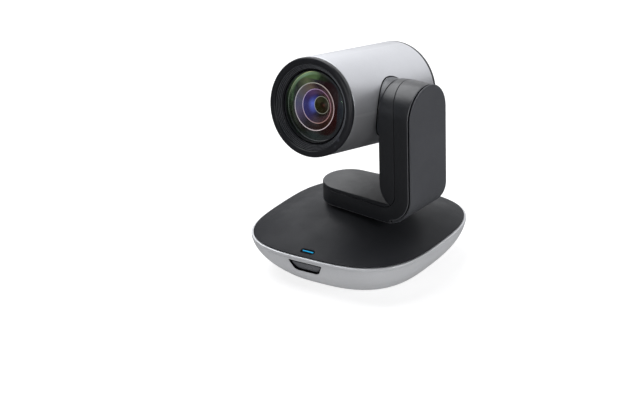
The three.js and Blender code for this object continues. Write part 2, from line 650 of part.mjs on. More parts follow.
// ---------------------------------------------------------------- arm frame and tilt drive
const FRAME_X = [40.6, 41.8];
const FRAME_FOOT_X = -13;
const FRAME_FOOT_Z = [47.2, 48.4];
const FRAME_TOP_Z = 124;
const FRAME_HALF_Y = 13;
const CABLE_WINDOW_HALF_Y = 6;
const CABLE_WINDOW_Z = [48.6, 53];
const TILT_GEAR_X = [42.6, 46.4];
const TILT_MOTOR_X = [33.8, 40.2];
const TILT_MOTOR_Z = TILT_Z - TILT_CENTRES;
const TILT_MOTOR_RADIUS = 9;
const TILT_MOTOR_FACE_X = 39.6;
const BUSH_RADIUS = 8.5;
const BUSH_COLLAR_RADIUS = 10;
const BUSH_X = [37.5, 42.2];
const frameWidth = [-FRAME_HALF_Y, FRAME_HALF_Y];
const frameMiddleX = middleOf(FRAME_X);
const throughFrame = (radius, z, segments) => (
  turnedAcross(rod(radius, TILT_MOTOR_X[0], TILT_GEAR_X[1]), segments).translate(0, 0, z));
add(arm, 'arm_frame', cut(
  join(block(FRAME_X, frameWidth, [FRAME_FOOT_Z[0], FRAME_TOP_Z]),
    block([FRAME_FOOT_X, frameMiddleX], frameWidth, FRAME_FOOT_Z)),
  throughFrame(BUSH_RADIUS + GAP, TILT_Z),
  throughFrame(MOTOR_BOSS_RADIUS + LOOSE, TILT_MOTOR_Z, SMALL_SEGMENTS),
  turnedUp(rod(PAN_SHAFT_BORE + LOOSE, 0, FRAME_TOP_Z)),
  block([ARM_INNER_X, SEAM_X], [-CABLE_WINDOW_HALF_Y, CABLE_WINDOW_HALF_Y], CABLE_WINDOW_Z),
  ...armScrewBores,
), 'steel');
const screwHeadZ = FRAME_FOOT_Z[1] + GAP;
[-1, 1].forEach((side, i) => {
  add(arm, `arm_screw_${i + 1}`, at(turnedUp([
    [0, FLANGE_Z[0]], [ARM_SCREW_RADIUS, FLANGE_Z[0]], [ARM_SCREW_RADIUS, screwHeadZ],
    [ARM_SCREW_HEAD_RADIUS, screwHeadZ],
    [ARM_SCREW_HEAD_RADIUS, screwHeadZ + ARM_SCREW_HEAD_HEIGHT],
    [0, screwHeadZ + ARM_SCREW_HEAD_HEIGHT],
  ], SMALL_SEGMENTS), [0, side * ARM_SCREW_Y]), 'steel');
});
add(arm, 'tilt_bush', turnedAcross([
  [TILT_SHAFT_RADIUS + GAP, BUSH_X[0]], [BUSH_COLLAR_RADIUS, BUSH_X[0]],
  [BUSH_COLLAR_RADIUS, FRAME_X[0] - GAP], [BUSH_RADIUS, FRAME_X[0] - GAP],
  [BUSH_RADIUS, BUSH_X[1]], [TILT_SHAFT_RADIUS + GAP, BUSH_X[1]],
]).translate(0, 0, TILT_Z), 'nylon');
add(arm, 'tilt_motor_body', turnedAcross([
  [0, TILT_MOTOR_X[0]], [TILT_MOTOR_RADIUS, TILT_MOTOR_X[0]],
  [TILT_MOTOR_RADIUS, TILT_MOTOR_FACE_X], [MOTOR_BOSS_RADIUS, TILT_MOTOR_FACE_X],
  [MOTOR_BOSS_RADIUS, TILT_MOTOR_X[1]], [0, TILT_MOTOR_X[1]],
]).translate(0, 0, TILT_MOTOR_Z), 'steel');

// Gears about the tilt axis are made about Z, then laid along X: their own X points down.
const layAcross = (geometry, z) => geometry.rotateY(Math.PI / 2).translate(0, 0, z);
add(arm, 'tilt_pinion', layAcross(join(
  gear(TILT_PINION_TEETH, TILT_MODULE, 0, ...TILT_GEAR_X, Math.PI),
  turnedUp(rod(MOTOR_SHAFT_RADIUS, TILT_MOTOR_X[1] + GAP, TILT_GEAR_X[1] + PINION_SHAFT_OVERHANG),
    SMALL_SEGMENTS),
), TILT_MOTOR_Z), 'brass');
add(arm, 'tilt_gear', layAcross(gear(TILT_GEAR_TEETH, TILT_MODULE, TILT_SHAFT_RADIUS + GAP,
  ...TILT_GEAR_X, Math.PI / TILT_GEAR_TEETH), TILT_Z), 'nylon');

// A flat cable up through the pan shaft, along the slab and up the outside of the arm's frame.
const FLEX_WIDTH = 9;
const FLEX_THICKNESS = 0.5;
const FLEX_BEND = 5;
const FLEX_LOW_Z = 24;
const FLEX_SLAB_Z = 50.2;
const FLEX_RISE_X = 49;
const FLEX_TOP_Z = 104;
const bendZ = FLEX_SLAB_Z - FLEX_BEND;
const riseBend = [FLEX_RISE_X - FLEX_BEND, FLEX_SLAB_Z + FLEX_BEND];
const flexRoute = new THREE.Shape();
flexRoute.moveTo(0, FLEX_LOW_Z);
flexRoute.absarc(FLEX_BEND, bendZ, FLEX_BEND, Math.PI, Math.PI / 2, true);
flexRoute.absarc(...riseBend, FLEX_BEND, -Math.PI / 2, 0, false);
flexRoute.lineTo(FLEX_RISE_X, FLEX_TOP_Z);
flexRoute.lineTo(FLEX_RISE_X + FLEX_THICKNESS, FLEX_TOP_Z);
flexRoute.absarc(...riseBend, FLEX_BEND + FLEX_THICKNESS, 0, -Math.PI / 2, true);
flexRoute.absarc(FLEX_BEND, bendZ, FLEX_BEND - FLEX_THICKNESS, Math.PI / 2, Math.PI, false);
flexRoute.lineTo(FLEX_THICKNESS, FLEX_LOW_Z);
add(arm, 'arm_flex_cable', prismAlongY(flexRoute, -FLEX_WIDTH / 2, FLEX_WIDTH / 2, 4), 'flex');

// ---------------------------------------------------------------- barrel casing
const onBarrel = (geometry) => geometry.translate(BARREL_X, 0, 0);
const shellFrontY = BARREL_FRONT_Y + BEZEL_BAND + GAP;
const shellRearY = BARREL_REAR_Y - REAR_CAP_THICKNESS - GAP;
const SPIGOT_RADIUS = 11.2;
add(head, 'barrel_shell', cut(
  onBarrel(turned(tube(BARREL_RADIUS, BARREL_RADIUS - BARREL_WALL, shellFrontY, shellRearY),
    CASING_SEGMENTS)),
  turnedAcross(rod(SPIGOT_RADIUS + GAP, 0, FAR)),
), 'silver');

const BEZEL_INNER_RADIUS = 22.7;
const LENS_SEAT_RADIUS = 20.6;
const LENS_SEAT_Y = -42.2;
const RIB_OUTER_RADIUS = 28;
const RIB_TREAD = 1.3;
const RIB_DEPTH = 0.9;
const RIB_COUNT = 3;
const RIM_LIP = 0.5;
const ribs = [];
for (let rib = 0; rib < RIB_COUNT; rib += 1) {
  const radius = RIB_OUTER_RADIUS - rib * RIB_TREAD;
  const level = BARREL_FRONT_Y + RIM_LIP + rib * RIB_DEPTH;
  ribs.push([radius, level], [radius, level + RIB_DEPTH]);
}
const BEZEL_REAR_Y = -38.5;
const spigotRadius = BARREL_RADIUS - BARREL_WALL - GAP;
add(head, 'front_bezel', onBarrel(turned([
  [BARREL_RADIUS, BARREL_FRONT_Y + BEZEL_BAND],
  [BARREL_RADIUS, BARREL_FRONT_Y + EDGE_CHAMFER],
  [BARREL_RADIUS - EDGE_CHAMFER, BARREL_FRONT_Y],
  [RIB_OUTER_RADIUS + RIM_LIP, BARREL_FRONT_Y],
  ...ribs,
  [BEZEL_INNER_RADIUS, ribs.at(-1)[1]],
  [BEZEL_INNER_RADIUS, LENS_SEAT_Y],
  [LENS_SEAT_RADIUS, LENS_SEAT_Y],
  [LENS_SEAT_RADIUS, BEZEL_REAR_Y],
  [spigotRadius, BEZEL_REAR_Y],
  [spigotRadius, BARREL_FRONT_Y + BEZEL_BAND],
], CASING_SEGMENTS)), 'lensBlack');
const CAP_SPIGOT_WALL = 3;
const CAP_SPIGOT_Y = BARREL_REAR_Y - 6;
add(head, 'rear_cap', onBarrel(turned([
  [0, BARREL_REAR_Y - REAR_CAP_THICKNESS],
  [spigotRadius - CAP_SPIGOT_WALL, BARREL_REAR_Y - REAR_CAP_THICKNESS],
  [spigotRadius - CAP_SPIGOT_WALL, CAP_SPIGOT_Y],
  [spigotRadius, CAP_SPIGOT_Y],
  [spigotRadius, BARREL_REAR_Y - REAR_CAP_THICKNESS],
  [BARREL_RADIUS, BARREL_REAR_Y - REAR_CAP_THICKNESS],
  [BARREL_RADIUS, BARREL_REAR_Y - EDGE_CHAMFER],
  [BARREL_RADIUS - EDGE_CHAMFER, BARREL_REAR_Y],
  [0, BARREL_REAR_Y],
], CASING_SEGMENTS)), 'charcoal');
const HUB_FACE_X = ARM_INNER_X - 0.4;
const SPIGOT_END_X = 24;
const TILT_SHAFT_BORE = 3.8;
const TILT_SHAFT_X = [25, 47.4];
add(head, 'tilt_hub', cut(
  join(
    cut(turnedAcross(rod(HUB_RADIUS, 0, HUB_FACE_X), CASING_SEGMENTS),
      onBarrel(turned(rod(BARREL_RADIUS + GAP, -FAR, FAR), CASING_SEGMENTS))),
    turnedAcross(rod(SPIGOT_RADIUS, SPIGOT_END_X, HUB_FACE_X)),
  ),
  turnedAcross(rod(TILT_SHAFT_RADIUS + GAP, 0, FAR)),
), 'charcoal');
add(head, 'tilt_shaft', turnedAcross(tube(TILT_SHAFT_RADIUS, TILT_SHAFT_BORE, ...TILT_SHAFT_X)), 'steel');

// ---------------------------------------------------------------- lens block inside the barrel
// A round glass element between two shallow spherical faces.
function lensElement(radius, edgeFront, edgeRear, frontBulge, rearBulge) {
  const steps = [1, 0.6, 0];
  const front = steps.map((s) => [radius * s, edgeFront - frontBulge * (1 - s * s)]);
  const rear = steps.map((s) => [radius * s, edgeRear + rearBulge * (1 - s * s)]).reverse();
  return onBarrel(turned([...front, ...rear]));
}

const HOUSING_RADIUS = 25.5;
const HOUSING_BORE = 23.6;
const HOUSING_Y = [-37.8, 24];
const HOUSING_END_THICKNESS = 1.5;
const SENSOR_OPENING_RADIUS = 7;
const GUIDE_X = 17.5;
const GUIDE_RADIUS = 1.2;
const GUIDE_Y = [-26, 22.2];
const housingEndY = HOUSING_Y[1] - HOUSING_END_THICKNESS;
const guideSpots = [BARREL_X - GUIDE_X, BARREL_X + GUIDE_X];
const guideHoles = guideSpots.map((x) => (
  turned(rod(GUIDE_RADIUS + GAP, -FAR, FAR), SMALL_SEGMENTS).translate(x, 0, 0)));
add(head, 'front_lens', lensElement(22.3, -45.2, -42.5, 2.8, -1.6), 'glass');
add(head, 'lens_housing', onBarrel(turned([
  [HOUSING_RADIUS, HOUSING_Y[0]], [HOUSING_RADIUS, HOUSING_Y[1]],
  [SENSOR_OPENING_RADIUS, HOUSING_Y[1]], [SENSOR_OPENING_RADIUS, housingEndY],
  [HOUSING_BORE, housingEndY], [HOUSING_BORE, HOUSING_Y[0]],
])), 'lensBlack');

const APERTURE_HALF = 15.5;
const APERTURE_CORNER = 6;
const BAFFLE_Y = [-36, -35];
const baffle = new THREE.Shape();
baffle.absarc(0, 0, HOUSING_BORE - GAP, 0, 2 * Math.PI, false);
const opening = new THREE.Path();
[[1, -1], [1, 1], [-1, 1], [-1, -1]].forEach(([sideX, sideZ], i) => {
  const centre = APERTURE_HALF - APERTURE_CORNER;
  const start = (i - 1) * Math.PI / 2;
  opening.absarc(sideX * centre, sideZ * centre, APERTURE_CORNER, start, start + Math.PI / 2, false);
});
baffle.holes.push(opening);
add(head, 'aperture_baffle', onBarrel(prismAlongY(baffle, ...BAFFLE_Y, 6)), 'lensBlack');
add(head, 'second_lens', lensElement(19, -31, -28, 3, 1), 'glass');

const IRIS_Y = [0.5, 2.5];
const IRIS_RADIUS = 7;
add(head, 'iris_ring', cut(
  onBarrel(turned(tube(HOUSING_BORE - GAP, IRIS_RADIUS, ...IRIS_Y))), ...guideHoles), 'lensBlack');
guideSpots.forEach((x, i) => {
  add(head, `guide_rod_${i + 1}`,
    turned(rod(GUIDE_RADIUS, ...GUIDE_Y), SMALL_SEGMENTS).translate(x, 0, 0), 'steel');
});

// Each moving lens group is a ring on the two guide rods with its element inside.
const CARRIER_RADIUS = 20;
const CARRIER_LIP = 1;
function lensGroup(name, boreRadius, low, high) {
  const carrier = onBarrel(turned(tube(CARRIER_RADIUS, boreRadius + GAP, low, high)));
  add(head, `${name}_carrier`, cut(carrier, ...guideHoles), 'lensBlack');
  const element = lensElement(boreRadius, low + CARRIER_LIP, high - CARRIER_LIP, 1.2, 0.6);
  add(head, `${name}_lens`, element, 'glass');
}
lensGroup('zoom', 12, -21, -16);
lensGroup('focus', 9.5, 6, 10.5);

// Linear motors: a magnet yoke along the wall of the housing, beside each moving group.
const YOKE_HALF_ANGLE = 32 * DEGREE;
const YOKE_INNER_RADIUS = 20.6;
const ZOOM_YOKE_Y = [-24, 0];
const FOCUS_YOKE_Y = [3.5, 21.5];
function motorYoke(middle, yokeY) {
  const from = middle - YOKE_HALF_ANGLE;
  const to = middle + YOKE_HALF_ANGLE;
  const shape = new THREE.Shape();
  shape.absarc(0, 0, HOUSING_BORE - GAP, from, to, false);
  shape.absarc(0, 0, YOKE_INNER_RADIUS, to, from, true);
  return onBarrel(prismAlongY(shape, ...yokeY, 6));
}
add(head, 'zoom_motor_yoke', motorYoke(-Math.PI / 2, ZOOM_YOKE_Y), 'steel');
add(head, 'focus_motor_yoke', motorYoke(Math.PI / 2, FOCUS_YOKE_Y), 'steel');

const SENSOR_WIDTH = 11;
const SENSOR_HEIGHT = 9;
const SENSOR_Y = [24.4, 25.6];
const SENSOR_BOARD_WIDTH = 38;
const SENSOR_BOARD_HEIGHT = 34;
const SENSOR_BOARD_Y = [25.9, 27.5];
add(head, 'image_sensor', onBarrel(
  block(around(0, SENSOR_WIDTH), SENSOR_Y, around(0, SENSOR_HEIGHT))), 'lensBlack');
add(head, 'sensor_board', onBarrel(
  block(around(0, SENSOR_BOARD_WIDTH), SENSOR_BOARD_Y, around(0, SENSOR_BOARD_HEIGHT))), 'board');

export default camera;
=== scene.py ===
import functools
import json
import math

import bmesh
import bpy
from mathutils import Matrix, Vector


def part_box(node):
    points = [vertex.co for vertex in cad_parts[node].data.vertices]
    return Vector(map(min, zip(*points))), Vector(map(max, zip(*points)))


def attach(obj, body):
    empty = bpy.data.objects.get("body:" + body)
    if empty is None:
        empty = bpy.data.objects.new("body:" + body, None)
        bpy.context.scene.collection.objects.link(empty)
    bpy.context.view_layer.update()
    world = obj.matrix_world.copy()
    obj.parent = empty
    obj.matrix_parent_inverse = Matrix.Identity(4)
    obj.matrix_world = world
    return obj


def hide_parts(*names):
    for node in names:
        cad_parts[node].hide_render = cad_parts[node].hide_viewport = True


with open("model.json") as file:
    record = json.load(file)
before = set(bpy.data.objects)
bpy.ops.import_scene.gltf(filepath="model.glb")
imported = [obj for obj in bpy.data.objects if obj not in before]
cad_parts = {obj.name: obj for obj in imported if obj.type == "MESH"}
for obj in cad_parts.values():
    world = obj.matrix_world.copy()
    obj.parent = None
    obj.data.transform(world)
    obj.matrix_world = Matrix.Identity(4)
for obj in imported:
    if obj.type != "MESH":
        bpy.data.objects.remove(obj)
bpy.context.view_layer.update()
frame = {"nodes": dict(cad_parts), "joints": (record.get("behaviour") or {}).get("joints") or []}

# Looks of a pan-tilt-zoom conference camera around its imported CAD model. Blender works in metres;
# the sizes below are in millimetres and pass through MM once, where a mesh is made.
MM = 0.001
DEGREE = math.pi / 180
JOINTS = {joint["name"]: joint for joint in frame["joints"]}

# The arm's own frame is panned, and the barrel's frame is tilted in it, as the CAD stands at rest.
TILT_Z = JOINTS["tilt"]["pos_m"][2] / MM
PAN_REST = math.atan2(JOINTS["tilt"]["axis"][1], JOINTS["tilt"]["axis"][0])
TILT_REST = math.asin(JOINTS["zoom_slide"]["axis"][2])
BASE = Matrix.Identity(4)
ARM = Matrix.Rotation(PAN_REST, 4, "Z")
TILT_AXIS = ARM @ Matrix.Translation((0, 0, TILT_Z))
HEAD = TILT_AXIS @ Matrix.Rotation(TILT_REST, 4, "X")


# ---------------------------------------------------------------- camera and light, in metres
CAMERA_AZIMUTH = 33.36 * DEGREE
CAMERA_ELEVATION = 23.94 * DEGREE
CAMERA_ROLL = -1.82 * DEGREE
CAMERA_DISTANCE = 1.5273
CAMERA_TARGET = Vector((-0.0219, -0.0255, 0.0471))
CAMERA_LENS = 134.7
SENSOR_WIDTH = 36
CLIP_END = 50

WORLD_STRENGTH = 0.014
LIGHT_TINT = (0.972, 0.98, 1.0)
LIGHT_TARGET = Vector((0, 0, 0.08))
# Each soft box has a place, a size and a power in watts.
SOFT_BOXES = {
    "backdrop": ((-0.1, 1.4, 0.87), (3.1, 1.66), 23),
    "key": ((-0.58, 0.12, 1.2), (1.3, 1.1), 23),
    "front_fill": ((0.2, -1.5, 0.55), (0.9, 0.5), 6),
    "right_fill": ((1.6, -0.1, 0.7), (0.6, 0.6), 11),
}


def link_object(name, data):
    obj = bpy.data.objects.new(name, data)
    bpy.context.scene.collection.objects.link(obj)
    return obj


def aim(obj, place, target, roll=0.0):
    back = (place - target).normalized()
    right = Vector((0, 0, 1)).cross(back).normalized()
    up = back.cross(right)
    turned_right = right * math.cos(roll) + up * math.sin(roll)
    turned_up = up * math.cos(roll) - right * math.sin(roll)
    axes = Matrix((turned_right, turned_up, back)).transposed()
    obj.matrix_world = Matrix.Translation(place) @ axes.to_4x4()


def make_camera():
    data = bpy.data.cameras.new("camera")
    data.sensor_width = SENSOR_WIDTH
    data.lens = CAMERA_LENS
    data.clip_end = CLIP_END
    camera = link_object("camera", data)
    level = math.cos(CAMERA_ELEVATION)
    back = Vector((math.sin(CAMERA_AZIMUTH) * level, -math.cos(CAMERA_AZIMUTH) * level,
                   math.sin(CAMERA_ELEVATION)))
    aim(camera, CAMERA_TARGET + back * CAMERA_DISTANCE, CAMERA_TARGET, CAMERA_ROLL)
    bpy.context.scene.camera = camera


def make_softbox(name, place, size, power):
    data = bpy.data.lights.new(name, "AREA")
    data.shape = "RECTANGLE"
    data.size, data.size_y = size
    data.energy = power
    data.color = LIGHT_TINT
    aim(link_object(name, data), Vector(place), LIGHT_TARGET)


def make_world():
    world = bpy.data.worlds.new("studio")
    world.use_nodes = True
    background = world.node_tree.nodes["Background"]
    background.inputs["Color"].default_value = (1, 1, 1, 1)
    background.inputs["Strength"].default_value = WORLD_STRENGTH
    bpy.context.scene.world = world


make_camera()
make_world()
for name, soft_box in SOFT_BOXES.items():
    make_softbox(name, *soft_box)
bpy.context.scene.view_settings.view_transform = "Standard"


# ---------------------------------------------------------------- materials
# Noise scales are in cycles per metre.
CLOUD_SCALE = 28
SMEAR_SCALE = 70
SPECK_LIFT = 1.35
RELIEF_DEPTH = 0.0002
EDGE_POINTINESS = (0.53, 0.62)


# Sets a node's inputs, each to a value or to another node's output.
def set_inputs(tree, node, inputs):
    for key, value in inputs.items():
        if isinstance(value, bpy.types.NodeSocket):
            tree.links.new(value, node.inputs[key])
        else:
            node.inputs[key].default_value = value


def add_node(tree, kind, inputs, output=0, **settings):
    node = tree.nodes.new("ShaderNode" + kind)
    for name, value in settings.items():
        setattr(node, name, value)
    set_inputs(tree, node, inputs)
    return node.outputs[output]


# A new material, with its node tree, its shader and the object's own coordinates.
def new_material(name):
    material = bpy.data.materials.new(name)
    material.use_nodes = True
    tree = material.node_tree
    where = add_node(tree, "TexCoord", {}, "Object")
    return material, tree, tree.nodes["Principled BSDF"], where


def maths(tree, operation, *values, use_clamp=False):
    return add_node(tree, "Math", dict(enumerate(values)), operation=operation, use_clamp=use_clamp)


def noise(tree, where, scale, detail=3.0, roughness=0.55):
    return add_node(tree, "TexNoise", {"Vector": where, "Scale": scale, "Detail": detail,
                                       "Roughness": roughness}, "Fac")


# Spreads the middle of a noise's range, or the given part, from low to high.
def remap(tree, value, low, high, source_low=0.35, source_high=0.65):
    return add_node(tree, "MapRange", {"Value": value, "From Min": source_low,
                                       "From Max": source_high, "To Min": low, "To Max": high})


def mix_colours(tree, factor, first, second):
    return add_node(tree, "Mix", {0: factor, 6: first, 7: second}, 2, data_type="RGBA")


def cloudy_colour(tree, where, scale, detail, first, second):
    return mix_colours(tree, remap(tree, noise(tree, where, scale, detail), 0, 1), first, second)


def shade(colour, factor):
    return tuple(min(1.0, channel * factor) for channel in colour) + (1,)


def grey(value):
    return (value, value, value, 1)


# One moulded, painted or machined surface: mottled colour, uneven gloss, a fine grain, and rims
# lightened partly as wear and partly as a painted highlight.
def surface(name, colour, roughness, metallic=0, grain=3000, bump=0.06, mottle=0.1, wear_and_highlight=0.3,
            worn_and_highlight_lift=2.2, stretch=(1, 1, 1), specular=0.5, coat=0, uneven=1):
    material, tree, principled, where = new_material(name)
    where = add_node(tree, "Mapping", {"Scale": stretch, "Vector": where})
    body = cloudy_colour(tree, where, CLOUD_SCALE, 4, shade(colour, 1 - mottle),
                         shade(colour, 1 + mottle))
    speck = noise(tree, where, grain, 2)
    body = mix_colours(tree, remap(tree, speck, 0, 0.5, 0.45, 0.8), body, shade(colour, SPECK_LIFT))
    # Sharp rims are lightened: partly wear, partly a painted highlight along them.
    pointiness = add_node(tree, "NewGeometry", {}, "Pointiness")
    edge = remap(tree, pointiness, 0, wear_and_highlight, *EDGE_POINTINESS)
    smear = noise(tree, where, SMEAR_SCALE, 5, 0.6)
    set_inputs(tree, principled, {
        "Base Color": mix_colours(tree, edge, body, shade(colour, worn_and_highlight_lift)),
        "Roughness": remap(tree, smear, roughness - 0.04 * uneven, roughness + 0.06 * uneven),
        "Normal": add_node(tree, "Bump", {"Strength": bump, "Distance": RELIEF_DEPTH,
                                          "Height": speck}),
        "Metallic": metallic,
        "Specular IOR Level": specular,
        "Coat Weight": coat,
    })
    return material


SILVER = surface("satin_silver", (0.505, 0.51, 0.53), 0.43, metallic=0.92, grain=5200, bump=0.03,
                 mottle=0.02, wear_and_highlight=0.15, uneven=0.3)
BOWL_SILVER = surface("satin_silver_paint", (0.53, 0.535, 0.55), 0.38, metallic=0.3, grain=5200,
                      bump=0.03, mottle=0.03, wear_and_highlight=0.15)
# The black casing's rims are lightened sixfold, more a painted highlight than wear.
BLACK = surface("satin_charcoal", (0.009, 0.010, 0.0125), 0.40, bump=0.1, wear_and_highlight=0.9, worn_and_highlight_lift=6)
DOME_BLACK = surface("matt_charcoal", (0.019, 0.0197, 0.0222), 0.42, bump=0.12, specular=0.08)
COVER_GREY = surface("matt_side_cover", (0.049, 0.051, 0.058), 0.5, bump=0.12, mottle=0.08)
# The bezel's rims are lightened sixfold: a painted highlight on the ribs more than wear.
BEZEL_BLACK = surface("bezel_black", (0.0078, 0.0083, 0.0108), 0.38, grain=3400, wear_and_highlight=0.6, worn_and_highlight_lift=6,
                      specular=0.4)
# Near-black painted shade for recesses and gaps.
RECESS_SHADE_BLACK = surface("recess_painted_shade_black", (0.002, 0.002, 0.0025), 0.6, grain=4000, mottle=0.2,
                       wear_and_highlight=0.2, specular=0.06)
LENS_BLACK = surface("anodised_black", (0.006, 0.006, 0.007), 0.45, grain=4000, mottle=0.15,
                     wear_and_highlight=0.2)
# A painted highlight for the outer case's rim.
CASE_EDGE_HIGHLIGHT_GREY = surface("painted_highlight_case_edge", (0.085, 0.087, 0.093), 0.35, grain=3400, bump=0.05)
# A painted highlight for the bezel's rib crests.
RIB_CREST_HIGHLIGHT_GREY = surface("painted_highlight_rib_crest", (0.10, 0.105, 0.115), 0.35, metallic=0.3, grain=3400,
                     bump=0.05)
WINDOW = surface("infrared_window", (0.085, 0.087, 0.095), 0.30, grain=5000, bump=0.02,
                 mottle=0.06, wear_and_highlight=0.1, coat=0.3)
RUBBER = surface("foot_rubber", (0.018, 0.018, 0.018), 0.85, grain=1800, bump=0.3, mottle=0.2,
                 wear_and_highlight=0.4)
STEEL = surface("plain_steel", (0.50, 0.51, 0.53), 0.32, metallic=1, bump=0.08, mottle=0.08,
                stretch=(1, 1, 0.1))
BRASS = surface("machined_brass", (0.62, 0.42, 0.16), 0.28, metallic=1, grain=2400, mottle=0.08,
                wear_and_highlight=0.4)
NYLON = surface("natural_nylon", (0.72, 0.70, 0.62), 0.55, grain=1500, bump=0.1, mottle=0.04,
                wear_and_highlight=0.1)
BOARD = surface("solder_mask", (0.012, 0.085, 0.035), 0.35, grain=1200, bump=0.08, mottle=0.2,
                wear_and_highlight=0.4, coat=0.3)
FLEX = surface("polyimide_film", (0.42, 0.15, 0.02), 0.3, grain=900, bump=0.03, mottle=0.15)


# A lit light pipe with a faint cloudiness.
def make_light_material():
    material, tree, principled, where = new_material("lit_blue_pipe")
    glow = cloudy_colour(tree, where, 420, 2, (0.002, 0.20, 0.40, 1), (0.004, 0.27, 0.50, 1))
    set_inputs(tree, principled, {"Base Color": glow, "Emission Color": glow,
                                  "Emission Strength": 0.6, "Specular IOR Level": 0.1,
                                  "Roughness": 0.5})
    return material


LIGHT = make_light_material()

GLASS_CLEAR = (0.93, 0.95, 0.97, 1)
GLASS_IOR = 1.3
GLASS_ROUGHNESS = 0.04
GLASS_FRESNEL_SHARE = 0.45


# Coated glass: clear, with a coloured gloss whose tint drifts over the surface.
def make_glass(name, tint, other_tint, gloss_share):
    material, tree, principled, where = new_material(name)
    tree.nodes.remove(principled)
    smear = noise(tree, where, 240, 4)
    gloss = add_node(tree, "BsdfGlossy", {
        "Color": cloudy_colour(tree, where, 35, 2, tint, other_tint),
        "Roughness": remap(tree, smear, GLASS_ROUGHNESS * 0.7, GLASS_ROUGHNESS * 1.5)})
    clear = add_node(tree, "BsdfTransparent", {"Color": GLASS_CLEAR})
    fresnel = add_node(tree, "Fresnel", {"IOR": GLASS_IOR})
    share = maths(tree, "MULTIPLY_ADD", fresnel, GLASS_FRESNEL_SHARE, gloss_share, use_clamp=True)
    mixed = add_node(tree, "MixShader", {0: share, 1: clear, 2: gloss})
    tree.links.new(mixed, tree.nodes["Material Output"].inputs["Surface"])
    return material


FRONT_GLASS = make_glass("front_glass", (0.30, 0.55, 0.28, 1), (0.40, 0.60, 0.30, 1), 0.0)
INNER_GLASS = make_glass("inner_glass", (0.45, 0.35, 0.95, 1), (0.75, 0.40, 0.75, 1), 0.05)


# ---------------------------------------------------------------- mesh code
MERGE_METRES = 1e-6
NEARLY_HALF = 0.499
LONGEST_FACET = 2.5


def finish_piece(name, data, material, body, replaced=(), sharp=38):
    edit = bmesh.new()
    edit.from_mesh(data)
    bmesh.ops.recalc_face_normals(edit, faces=edit.faces)
    for face in edit.faces:
        face.smooth = True
        face.material_index = 0
    for edge in edit.edges:
        if len(edge.link_faces) == 2 and edge.calc_face_angle(0) > sharp * DEGREE:
            edge.smooth = False
    edit.to_mesh(data)
    edit.free()
    data.materials.clear()
    data.materials.append(material)
    piece = link_object(name, data)
    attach(piece, body)
    if replaced:
        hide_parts(*replaced)
    return piece


# The angles of a quarter turn, both ends included, and of a full turn.
def quarter_turn(steps):
    return [math.pi / 2 * step / steps for step in range(steps + 1)]


def full_turn(count):
    return [2 * math.pi * i / count for i in range(count)]


# Rings of points, each joined to the next one. Points that fall together become one.
def skin(rings, closed=False, capped=False, matrix=BASE):
    edit = bmesh.new()
    rows = [[edit.verts.new((matrix @ Vector(point)) * MM) for point in ring] for ring in rings]
    if capped:
        edit.faces.new(rows[0])
        edit.faces.new(rows[-1])
    if closed:
        rows.append(rows[0])
    count = len(rows[0])
    for low, high in zip(rows, rows[1:]):
        for i in range(count):
            j = (i + 1) % count
            edit.faces.new((low[i], low[j], high[j], high[i]))
    bmesh.ops.remove_doubles(edit, verts=edit.verts, dist=MERGE_METRES)
    bmesh.ops.recalc_face_normals(edit, faces=edit.faces)
    data = bpy.data.meshes.new("mesh")
    edit.to_mesh(data)
    edit.free()
    return data


# A chain of 2D corners, (x, y) or (x, y, radius), with each corner rounded by an arc.
def soften(corners, closed=True, steps=5):
    points = []
    count = len(corners)
    for i, corner in enumerate(corners):
        here = Vector(corner[:2])
        radius = corner[2] if len(corner) > 2 else 0
        if radius == 0 or (not closed and i in (0, count - 1)):
            points.append(tuple(here))
            continue
        before = Vector(corners[i - 1][:2]) - here
        after = Vector(corners[(i + 1) % count][:2]) - here
        half = before.angle(after) / 2
        reach = min(radius / math.tan(half), before.length * NEARLY_HALF,
                    after.length * NEARLY_HALF)
        radius = reach * math.tan(half)
        centre = here + (before.normalized() + after.normalized()).normalized() * (
            radius / math.sin(half))
        first = here + before.normalized() * reach - centre
        last = here + after.normalized() * reach - centre
        turn = math.atan2(first.x * last.y - first.y * last.x, first.dot(last))
        for step in range(steps + 1):
            angle = turn * step / steps
            cos, sin = math.cos(angle), math.sin(angle)
            points.append((centre.x + first.x * cos - first.y * sin,
                           centre.y + first.x * sin + first.y * cos))
    return points


# The same closed outline, with each side that is longer than a corner's facets cut into parts.
def subdivide(outline, parts):
    points = []
    for i, point in enumerate(outline):
        here, after = Vector(point), Vector(outline[(i + 1) % len(outline)])
        count = parts if (after - here).length > LONGEST_FACET else 1
        points += [tuple(here.lerp(after, step / count)) for step in range(count)]
    return points


def on_axis(axis, level, across, up):
    return {"X": (level, across, up), "Y": (across, level, up), "Z": (across, up, level)}[axis]


def circle(radius, level, axis, count):
    return [on_axis(axis, level, radius * math.cos(a), radius * math.sin(a))
            for a in full_turn(count)]


# A closed outline of (radius, level[, corner radius]) turned about an axis through the centre.
def lathe(corners, axis, centre=(0, 0, 0), matrix=BASE, count=128):
    rings = [circle(radius, level, axis, count) for radius, level in soften(corners, steps=4)]
    on_axis_ends = [corner for corner in corners if corner[0] == 0]
    return skin(rings, closed=not on_axis_ends, matrix=matrix @ Matrix.Translation(centre))


def outline_inset(outline, inset):
    points = []
    for i, point in enumerate(outline):
        here = Vector(point)
        before = (here - Vector(outline[i - 1])).normalized()
        after = (Vector(outline[(i + 1) % len(outline)]) - here).normalized()
        tangent = (before + after).normalized()
        normal = Vector((-tangent.y, tangent.x))
        slant = max(0.3, normal.dot(Vector((-after.y, after.x))))
        points.append(tuple(here + normal * (inset / slant)))
    return points


